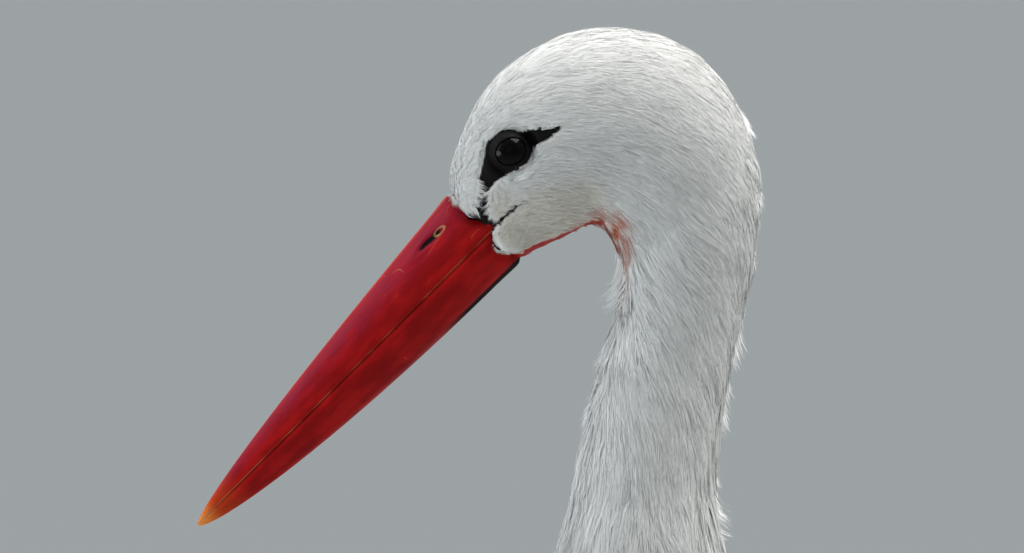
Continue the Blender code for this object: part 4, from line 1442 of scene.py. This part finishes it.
coat("plumage", path, path_normals, uv, colours, barbs=18, rows=3,
     width=body_spacing(spots) * 1.9, barb_width=0.00125, root_height=-0.0003,
     tip_height=top * 0.85, fan=0.75, ragged=0.30, roll=0.22, wave=0.06)

# ----------------------------------------
# The folded wings. Rows of long stiff feathers lie over each other like the leaves of a fan:
# black primaries, secondaries and greater coverts, and white median coverts and scapulars.
# ----------------------------------------
WING_PARTS = ("coverts", "secondaries", "primaries")
SURFACE_POWERS = [(i, j) for i in range(6) for j in range(5) if i + j < 7]
skin_uv_middle = skin_uv[triangle_loops].mean(1)
triangle_tree = BVHTree.FromPolygons([tuple(p) for p in places],
                                     [tuple(t) for t in triangle_corners.tolist()])


def shaft_shares(rows):
    """Shares of the length along a shaft, closer together towards its rounded tip."""
    return 1 - (1 - np.linspace(0, 1, rows)) ** 1.5


def feather_outline(shares, widest, tip):
    """Half the width along a feather, from 0 to 1: full past widest, then rounded to its tip."""
    rise = np.sqrt(1 - (1 - np.minimum(shares / widest, 1)) ** 2)
    fall = np.clip((shares - tip) / (1 - tip), 0, 1)
    return (0.25 + 0.75 * rise) * np.sqrt(1 - 0.97 * fall ** 2)


def between(values, pieces):
    """Values along the rows of a feather, with more of them evenly set between two rows."""
    steps = np.arange(values.shape[1] * pieces - pieces + 1) / pieces
    low = np.minimum(steps.astype(int), values.shape[1] - 2)
    share = (steps - low).reshape((1, -1) + (1,) * (values.ndim - 2))
    return values[:, low] * (1 - share) + values[:, low + 1] * share


def middle_of(values):
    """Values halfway between the rows of a feather."""
    return (values[:, 1:] + values[:, :-1]) / 2


def vanes(name, line, up, uv, colours, material, *, width, height, camber, roll, widest=0.4,
          tip=0.55, columns=(-0.9, 0.0, 0.9), fray=0.0016, barbs=3, edge_colour=None):
    """Feathers as one mesh. line holds each shaft's points and up the way out at them.

    width, height (at the root and the tip), camber and roll are in metres or shares of the
    half width. fray is how far the barbs' tips reach past the edge, barbs how many to a row."""
    count, rows, _ = line.shape
    u = shaft_shares(rows)
    ahead = unit(np.gradient(line, axis=1))
    side = unit(np.cross(ahead, up))
    width, low, high, roll, fray = (np.broadcast_to(value, (count,))[:, None]
                                    for value in (width, *height, roll, fray))
    half = width * feather_outline(u, widest, tip)[None] / 2
    lift = low * (1 - u) + high * u
    columns = np.array(columns)

    def web(at, half_here, line_here, side_here, up_here, lift_here):
        out = half_here * at
        rise = lift_here + half_here * (roll * at - camber * at ** 2)
        return line_here + side_here * out[..., None] + up_here * rise[..., None]

    measures = (half, line, side, up, lift)
    grid = np.stack([web(at, *measures) for at in columns], axis=2)
    fine = [between(values, barbs) for values in measures]
    fine_u = between(np.broadcast_to(u, (count, rows)), barbs)
    fine_ahead = unit(between(ahead, barbs))
    teeth_each = fine[0].shape[1] - 1
    corners = [grid.reshape(count, -1, 3)]
    for sign in (-1, 1):
        edge = web(sign * columns[-1] * 0.98, *fine)
        length = fray * random.uniform(0.3, 1.3, (count, teeth_each))
        length = length * ramp(middle_of(fine_u), 0.02, 0.25)
        point = middle_of(edge) + fine_ahead[:, 1:] * (length * 0.90)[..., None]
        point = point + middle_of(fine[2]) * (sign * length * 0.42)[..., None]
        point = point - middle_of(fine[3]) * (length * 0.10)[..., None]
        tooth = np.stack((edge[:, :-1], edge[:, 1:], point), axis=2)
        corners.append(tooth.reshape(count, -1, 3))
    ends = []
    spread = np.linspace(-1, 1, 5)
    for at in spread:
        foot = line[:, -1] + side[:, -1] * (half[:, -1] * at)[:, None]
        foot = foot + up[:, -1] * lift[:, -1:]
        wide = side[:, -1] * (half[:, -1:] * 0.28)
        reach = fray * random.uniform(0.5, 1.3, (count, 1))
        point = foot + ahead[:, -1] * reach + side[:, -1] * (reach * at * 0.5)
        ends.append(np.stack((foot - wide, foot + wide, point), axis=1))
    corners.append(np.concatenate(ends, axis=1))
    corners = np.concatenate(corners, axis=1)
    wide = len(columns)
    body_count = rows * wide
    per_feather = corners.shape[1]
    starts = (np.arange(count) * per_feather)[:, None]
    faces = [starts + np.array((first, first + 1, first + wide + 1, first + wide))
             for row in range(rows - 1) for first in range(row * wide, row * wide + wide - 1)]
    tooth_starts = body_count + 3 * np.arange(2 * teeth_each + len(spread))
    teeth = [starts + np.array((first, first + 1, first + 2)) for first in tooth_starts]
    tooth_u = np.repeat(middle_of(fine_u[:1])[0], 3)
    along = np.concatenate((np.repeat(u, wide), tooth_u, tooth_u, np.ones(3 * len(spread))))
    aside = np.concatenate((np.tile(columns, rows), -np.ones(3 * teeth_each),
                            np.ones(3 * teeth_each), np.repeat(spread, 3)))

    def at_corners(on_rows, on_teeth):
        """A value on the rows and between the teeth, at every corner of each feather."""
        on_teeth = np.repeat(on_teeth, 3, axis=1)
        return np.concatenate((np.repeat(on_rows, wide, axis=1), on_teeth, on_teeth,
                               np.repeat(on_rows[:, -1:], 3 * len(spread), axis=1)), axis=1)

    facing = at_corners(up, middle_of(fine[3]))
    shades = np.repeat(colours[:, None], per_feather, axis=1)
    if edge_colour is not None:
        share = (ramp(np.abs(aside), 0.55, 1.0) * ramp(along, 0.15, 0.5))[None, :, None]
        shades = shades * (1 - share) + edge_colour * share
    shades = shades * (1 - 0.06 * (1 - np.abs(aside)) ** 4)[None, :, None]
    patch = np.empty((count, per_feather, 2))
    patch[..., 0] = aside * PATCH * 0.4
    patch[..., 1] = (along - 0.5) * PATCH * 0.8
    patch += uv[:, None]
    made = mesh_of(name, corners.reshape(-1, 3), [np.concatenate(faces), np.concatenate(teeth)],
                   np.clip(shades, 0, 0.9).reshape(-1, 3), patch.reshape(-1, 2), material,
                   np.tile(along, count), facing.reshape(-1, 3))
    step = np.linalg.norm(np.diff(line, axis=1), axis=2)
    length = np.cumsum(np.concatenate((np.zeros((count, 1)), step), axis=1), axis=1)
    run = at_corners(length, middle_of(between(length, barbs)))
    out = at_corners(half, middle_of(fine[0])) * aside
    own_place = np.broadcast_to(np.arange(count)[:, None] * 0.37, run.shape)
    set_vectors(made.data, "web", np.stack((run, out, own_place), axis=2))
    return made


def curved_rows(path, normals, rows):
    """Points and outward normals along each walked path."""
    u = shaft_shares(rows)[None, None, :]
    return (through_three(path, u)[:, 0], unit(through_three(normals, u)[:, 0]))


barb_web = bpy.data.node_groups.new("barb_web", "ShaderNodeTree")
for socket_name, kind, value in (("Barb Width", "NodeSocketFloat", 0.0011),
                                 ("Slant", "NodeSocketFloat", 1.4),
                                 ("Barb Share", "NodeSocketFloat", 0.25)):
    socket = barb_web.interface.new_socket(name=socket_name, in_out="INPUT", socket_type=kind)
    socket.default_value = value
for socket_name in ("Height", "Wear"):
    barb_web.interface.new_socket(name=socket_name, in_out="OUTPUT", socket_type="NodeSocketFloat")
group_in = barb_web.nodes.new("NodeGroupInput")
group_out = barb_web.nodes.new("NodeGroupOutput")
web = shader_node(barb_web, "ShaderNodeAttribute", attribute_name="web")
web_parts = barb_web.nodes.new("ShaderNodeSeparateXYZ")
link(barb_web, (web.outputs["Vector"], web_parts.inputs[0]))
out = math_node(barb_web, "ABSOLUTE", web_parts.outputs["Y"])
slanted = minus(barb_web, web_parts.outputs["X"], times(barb_web, out, group_in.outputs["Slant"]))
turns = math_node(barb_web, "DIVIDE", times(barb_web, slanted, 2 * math.pi),
                  group_in.outputs["Barb Width"])
barb = math_node(barb_web, "SINE", turns)
worn = noise_on(barb_web, web.outputs["Vector"], (260, 260, 50), 3)
relief = plus(barb_web, times(barb_web, barb, group_in.outputs["Barb Share"]), worn)
link(barb_web, (relief, group_out.inputs["Height"]), (worn, group_out.inputs["Wear"]))


def barbed(name, roughness, worn_tone, barb_width, barb_share, **values):
    """A feather's finish: its own tone, with fine barbs that run out from the shaft."""
    made, shader = principled(name, Roughness=roughness, **values)
    tree = made.node_tree
    own = shader_node(tree, "ShaderNodeVertexColor", layer_name="tone")
    barbs = shader_node(tree, "ShaderNodeGroup", node_tree=barb_web, Barb_Width=barb_width,
                        Barb_Share=barb_share)
    bump = shader_node(tree, "ShaderNodeBump", Strength=0.35, Distance=0.0004)
    tinted = mix_colour(tree, smooth_step(tree, barbs.outputs["Wear"], 0.35, 0.75, 0.0, 0.16),
                        own.outputs["Color"], worn_tone)
    link(tree, (barbs.outputs["Height"], bump.inputs["Height"]),
         (bump.outputs["Normal"], shader.inputs["Normal"]), (tinted, shader.inputs["Base Color"]))
    return made


white_vane = barbed("white_vane", 0.70, (0.66, 0.65, 0.62), 0.0012, 0.22,
                    Specular_IOR_Level=0.25)
black_vane = barbed("black_vane", 0.42, (0.024, 0.026, 0.032), 0.0010, 0.28,
                    Specular_IOR_Level=0.32)


def unwrap_spot(points):
    """The place on the unwrap of the skin nearest to each point."""
    _, _, faces = nearest_on(triangle_tree, points)
    return skin_uv_middle[faces]


def powers(along, share):
    return np.stack([along ** i * share ** j for i, j in SURFACE_POWERS], axis=-1)


def wing_bulge(tree, sign):
    """The outer face of one folded wing as a smooth sum of powers: its distance to the side."""
    along, share = (grid.ravel() for grid in np.meshgrid(np.linspace(0.03, 0.97, 48),
                                                          np.linspace(0.08, 0.92, 15)))
    found, kept = [], []
    for index, (x, _, z) in enumerate(wing_place(along, share)):
        hit, _, _, _ = tree.ray_cast((x, 0.4 * sign, z), (0, -sign, 0))
        if hit is not None:
            found.append(hit[1] * sign)
            kept.append(index)
    return np.linalg.lstsq(powers(along[kept], share[kept]), np.array(found), rcond=None)[0]


wing_bulges = {}
for side, sign in SIDES.items():
    wing_tree = solid_tree([f"wing_{side}_{part}" for part in WING_PARTS])[0]
    wing_bulges[sign] = wing_bulge(wing_tree, sign)


def on_wing(along, share, sign):
    """Places on the outer face of a folded wing, and the way out from them."""
    def face(along, share):
        spots = wing_place(along, share)
        bulge = powers(np.clip(along, 0.03, 0.97), np.clip(share, 0.06, 0.94)) @ wing_bulges[sign]
        spots[..., 1] = sign * np.maximum(bulge, 0.004)
        return spots

    spots = face(along, share)
    ahead = face(along + 0.01, share) - face(along - 0.01, share)
    above = face(along, share + 0.02) - face(along, share - 0.02)
    out = unit(np.cross(ahead, above))
    return spots, out * np.sign(out[..., 1:2]) * sign


def wing_row(name, material, colour, *, count, root, end, width, height, step, roll, rows=16,
             sink=0.003, edge_colour=None, **shape):
    """A row of feathers along each folded wing, from its lowest to its highest.

    Gives the row's piece for each side. root and end each hold the share along and across
    the wing, for the lowest and for the highest feather. Each next feather lies a step
    further out, over the one below it, and its root is sunk under the row before."""
    share = np.linspace(0, 1, count)
    u = shaft_shares(rows)
    ends = []
    for (low_along, low_share), (high_along, high_share) in (root, end):
        ends.append((low_along + (high_along - low_along) * share,
                     low_share + (high_share - low_share) * share))
    (root_along, root_share), (tip_along, tip_share) = ends
    tip_along = tip_along + random.normal(0, 0.005, count)
    along = root_along[:, None] + (tip_along - root_along)[:, None] * u
    across = root_share[:, None] + (tip_share - root_share)[:, None] * u
    over = height + step * np.arange(count)
    pair = {}
    for side, sign in SIDES.items():
        line, up = on_wing(along, across, sign)
        colours = np.tile(colour, (count, 1)) * random.uniform(0.93, 1.05, (count, 1))
        pair[side] = vanes(f"{name}_{side}", line, up, unwrap_spot(line[:, rows // 3]), colours,
                           material, width=width, height=(over - sink, over), roll=roll * sign,
                           edge_colour=edge_colour, **shape)
    return pair


FLIGHT = dict(columns=(-0.99, -0.5, 0.0, 0.5, 0.99), fray=0.0010, barbs=3, widest=0.20,
              tip=0.86, camber=0.10)
SILVER = np.array((0.042, 0.045, 0.049))
primaries = wing_row("primaries", black_vane, BLACK, count=10, root=((0.55, 0.06), (0.63, 0.72)),
                     end=((1.02, 0.30), (0.89, 0.96)), width=0.022, height=-0.0016,
                     step=0.00015, roll=-0.08, **FLIGHT)
for side, made in primaries.items():
    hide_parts(f"wing_{side}_primaries")
wing_row("secondaries", black_vane, BLACK, count=16, root=((0.30, 0.04), (0.48, 0.80)),
         end=((0.80, 0.05), (0.93, 0.97)), width=0.027, height=-0.0004, step=0.00014,
         roll=-0.08, rows=20, edge_colour=SILVER, **FLIGHT)
wing_row("greater_coverts", black_vane, BLACK, count=19, root=((0.20, 0.06), (0.44, 0.84)),
         end=((0.46, 0.03), (0.64, 0.84)), width=0.022, height=0.0012, step=0.00006,
         roll=-0.08, rows=13, camber=0.14, sink=0.0062, tip=0.72, fray=0.0016)
wing_row("median_coverts", white_vane, WHITE, count=22, root=((0.19, 0.02), (0.38, 0.88)),
         end=((0.31, 0.00), (0.52, 0.88)), width=0.019, height=0.0022, step=0.00004,
         roll=-0.08, rows=12, camber=0.18, sink=0.0056, tip=0.62, fray=0.0022)

# Underneath, the wing is lined with smaller black feathers.
triangle_out = unit(skin_normals[triangle_corners].sum(1))
triangle_middle = triangle_places.mean(1)
outward = triangle_out[:, 1] * np.sign(triangle_middle[:, 1])
along_wing, across_wing = wing_shares(triangle_middle)
lining_area = (flight_black(triangle_middle, triangle_kinds) > 0.5) & (
    (outward < -0.2) | (triangle_out[:, 2] < -0.6)) & (triangle_out[:, 2] < 0.1) & (
    across_wing < 0.45) & (along_wing < 0.66)
spots, normals, uv, kinds = roots_on(lining_area, evenly(0.012), 2.5)
lengths = 0.040 * random.uniform(0.85, 1.1, len(spots))
path, path_normals = walked(spots, normals, kinds, lengths, random.normal(0, 0.06, len(spots)))
line, up = curved_rows(path, path_normals, 9)
for side, sign in SIDES.items():
    mine = spots[:, 1] * sign > 0
    vanes(f"wing_lining_{side}", line[mine], up[mine], uv[mine],
          np.tile(BLACK, (mine.sum(), 1)), black_vane, width=0.020, height=(0.0003, 0.0014),
          camber=0.1, roll=0.0)

# Scapulars: broad white feathers that hang from the shoulder over the black ones.
shoulder = (np.isin(triangle_kinds, ("wing", "trunk")) & (along_wing > 0.20)
            & (along_wing < 0.52) & (across_wing < 1.06)
            & (across_wing > 0.66 + 0.20 * ramp(along_wing, 0.40, 0.52))
            & ((outward > 0.25) | (triangle_out[:, 2] > 0.75)))
spots, normals, uv, kinds = roots_on(shoulder, evenly(0.0085), 2.5)
along_wing, _ = wing_shares(spots)
lengths = (0.040 + 0.022 * ramp(along_wing, 0.15, 0.50)) * random.uniform(0.92, 1.08, len(spots))
kinds = np.full(len(spots), "wing")
swing = 0.06 * noise_at(spots, 0.06, 41) + random.normal(0, 0.04, len(spots))
path, path_normals = walked(spots, normals, kinds, lengths, swing)
over = 0.0048 + 0.0022 * ramp(along_wing, 0.20, 0.45)
colours = np.tile(WHITE, (len(spots), 1)) * random.uniform(0.95, 1.02, (len(spots), 1))
coat("scapulars", path, path_normals, uv, colours, barbs=26, rows=4, width=0.019,
     barb_width=0.00125, root_height=0.0004, tip_height=over, fan=0.85, ragged=0.22, roll=0.18,
     wave=0.04)

# The feathers of the back lie over the gap between the two wings: white ones in front, and
# behind them the long black tertials.


def over_ridge(x, y):
    """Places over the middle of the back, and the way up from them."""
    z = np.polyval(ridge_curve, x) - y ** 2 / RIDGE_ROUND
    slope = np.polyval(np.polyder(ridge_curve), x)
    up = unit(np.stack((-slope, 2 * y / RIDGE_ROUND, np.ones(x.shape)), axis=-1))
    return np.stack((x, y, z), axis=-1), up


start_x, start_y = (grid.ravel() for grid in np.meshgrid(np.linspace(-0.085, 0.075, 17),
                                                          np.linspace(-0.020, 0.020, 5)))
start_x = start_x + random.normal(0, 0.003, len(start_x))
start_y = start_y + random.normal(0, 0.002, len(start_y))
steps = [over_ridge(start_x + 0.052 * share, start_y * (1 + 0.15 * share))
         for share in (0, 0.5, 1)]
tufts("back_feathers", [spots for spots, _ in steps], [up for _, up in steps],
      unwrap_spot(steps[0][0]), np.tile(WHITE, (len(start_x), 1)), barbs=24, rows=4,
      width=0.017, barb_width=0.00125, root_height=-0.0035, tip_height=0.0012, fan=0.9,
      ragged=0.25, roll=0.18, wave=0.04)
start_y = np.array((-0.017, 0.017, -0.009, 0.009, 0.0))
u = shaft_shares(16)
line, up = over_ridge(0.085 + 0.195 * u + np.zeros((5, 1)), start_y[:, None] * (1 - 0.45 * u))
vanes("tertials", line, up, unwrap_spot(line[:, 0]), np.tile(BLACK, (5, 1)), black_vane,
      width=0.026, height=(-0.0040, 0.0006 + 0.0003 * np.arange(5)), roll=0.0, **FLIGHT)

# ----------------------------------------
# The tail. Twelve white feathers in a shallow fan under the wing tips, with soft coverts over
# and under their roots.
# ----------------------------------------
TAIL_FEATHERS = 12
TAIL_ROWS = 14
tail_tree = solid_tree(["tail"])[0]
tail_root = tail_points[tail_points[:, 0] < tail_points[:, 0].min() + 0.004].mean(0) * (1, 0, 1)
tail_length = np.linalg.norm(tail_tip - tail_root)
tail_half = np.abs(tail_points[:, 1]).max()


def smooth_along(rows, rounds):
    """Evens out values along each feather, leaving its ends."""
    for _ in range(rounds):
        rows[:, 1:-1] = 0.5 * rows[:, 1:-1] + 0.25 * (rows[:, :-2] + rows[:, 2:])
    return rows


def on_tail(along, side, below):
    """Places on the tail's upper or lower face, from its root and its middle."""
    seen = tail_root + np.multiply.outer(along * tail_length, tail_axis)
    spots = np.empty(seen.shape)
    facing = np.empty(seen.shape)
    drop = 0.2 if not below else -0.2
    for i in np.ndindex(along.shape):
        x, _, z = seen[i]
        y = side[i]
        start = (x, y, z + drop)
        hit, normal, _, _ = tail_tree.ray_cast(start, (0, 0, -math.copysign(1, drop)))
        if hit is None:
            hit, normal, _, _ = tail_tree.find_nearest((x, y, z))
            hit = (x, y, hit[2])
        spots[i], facing[i] = hit, normal
    return spots, unit(facing)


share = np.linspace(-1, 1, TAIL_FEATHERS)
u = shaft_shares(TAIL_ROWS)
out = (share[:, None] * (tail_half - 0.010)) * (0.12 + 0.88 * u ** 1.7)
reach = 1 - 0.07 * share[:, None] ** 2
line, up = on_tail(0.02 + 0.98 * u * reach, out, below=False)
line[..., 2] = smooth_along(line[..., 2].copy(), 3)
up = unit(smooth_along(up, 5))
over = 0.0014 - 0.0004 * np.abs(np.arange(TAIL_FEATHERS) - 5.5)
tail_feathers = vanes("tail_feathers", line, up, unwrap_spot(line[:, 0]),
                      np.tile(WHITE, (TAIL_FEATHERS, 1)), white_vane, width=0.024,
                      height=(over - 0.001, over), camber=0.10,
                      roll=0.12 * np.sign(share), columns=(-0.99, -0.5, 0.0, 0.5, 0.99),
                      fray=0.0010, widest=0.3, tip=0.85)
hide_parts("tail")
for word, below, farthest, spread in (("upper", False, 0.60, 0.36), ("under", True, 0.80, 0.55)):
    grid_along, grid_side = np.meshgrid(np.linspace(0.0, farthest - 0.30, 7),
                                        np.linspace(-1, 1, 9), indexing="ij")
    grid_side = grid_side + 0.11 * (np.arange(7) % 2)[:, None]
    start_along, start_side = grid_along.ravel(), grid_side.ravel()
    u = shaft_shares(9)
    along = start_along[:, None] + 0.34 * u
    out = start_side[:, None] * (tail_half * spread) * (0.38 + 0.60 * along)
    line, up = on_tail(along, out, below)
    line[..., 2] = smooth_along(line[..., 2].copy(), 3)
    up = unit(smooth_along(up, 4))
    count = len(line)
    tufts(f"tail_coverts_{word}", [line[:, row] for row in (0, 5, 8)],
          [up[:, row] for row in (0, 5, 8)], unwrap_spot(line[:, 0]),
          np.tile(WHITE, (count, 1)) * random.uniform(0.95, 1.02, (count, 1)), barbs=22, rows=4,
          width=0.019, barb_width=0.0013, root_height=-0.0005,
          tip_height=0.0030 - 0.0016 * start_along, fan=0.7, ragged=0.3, roll=0.22, wave=0.06)
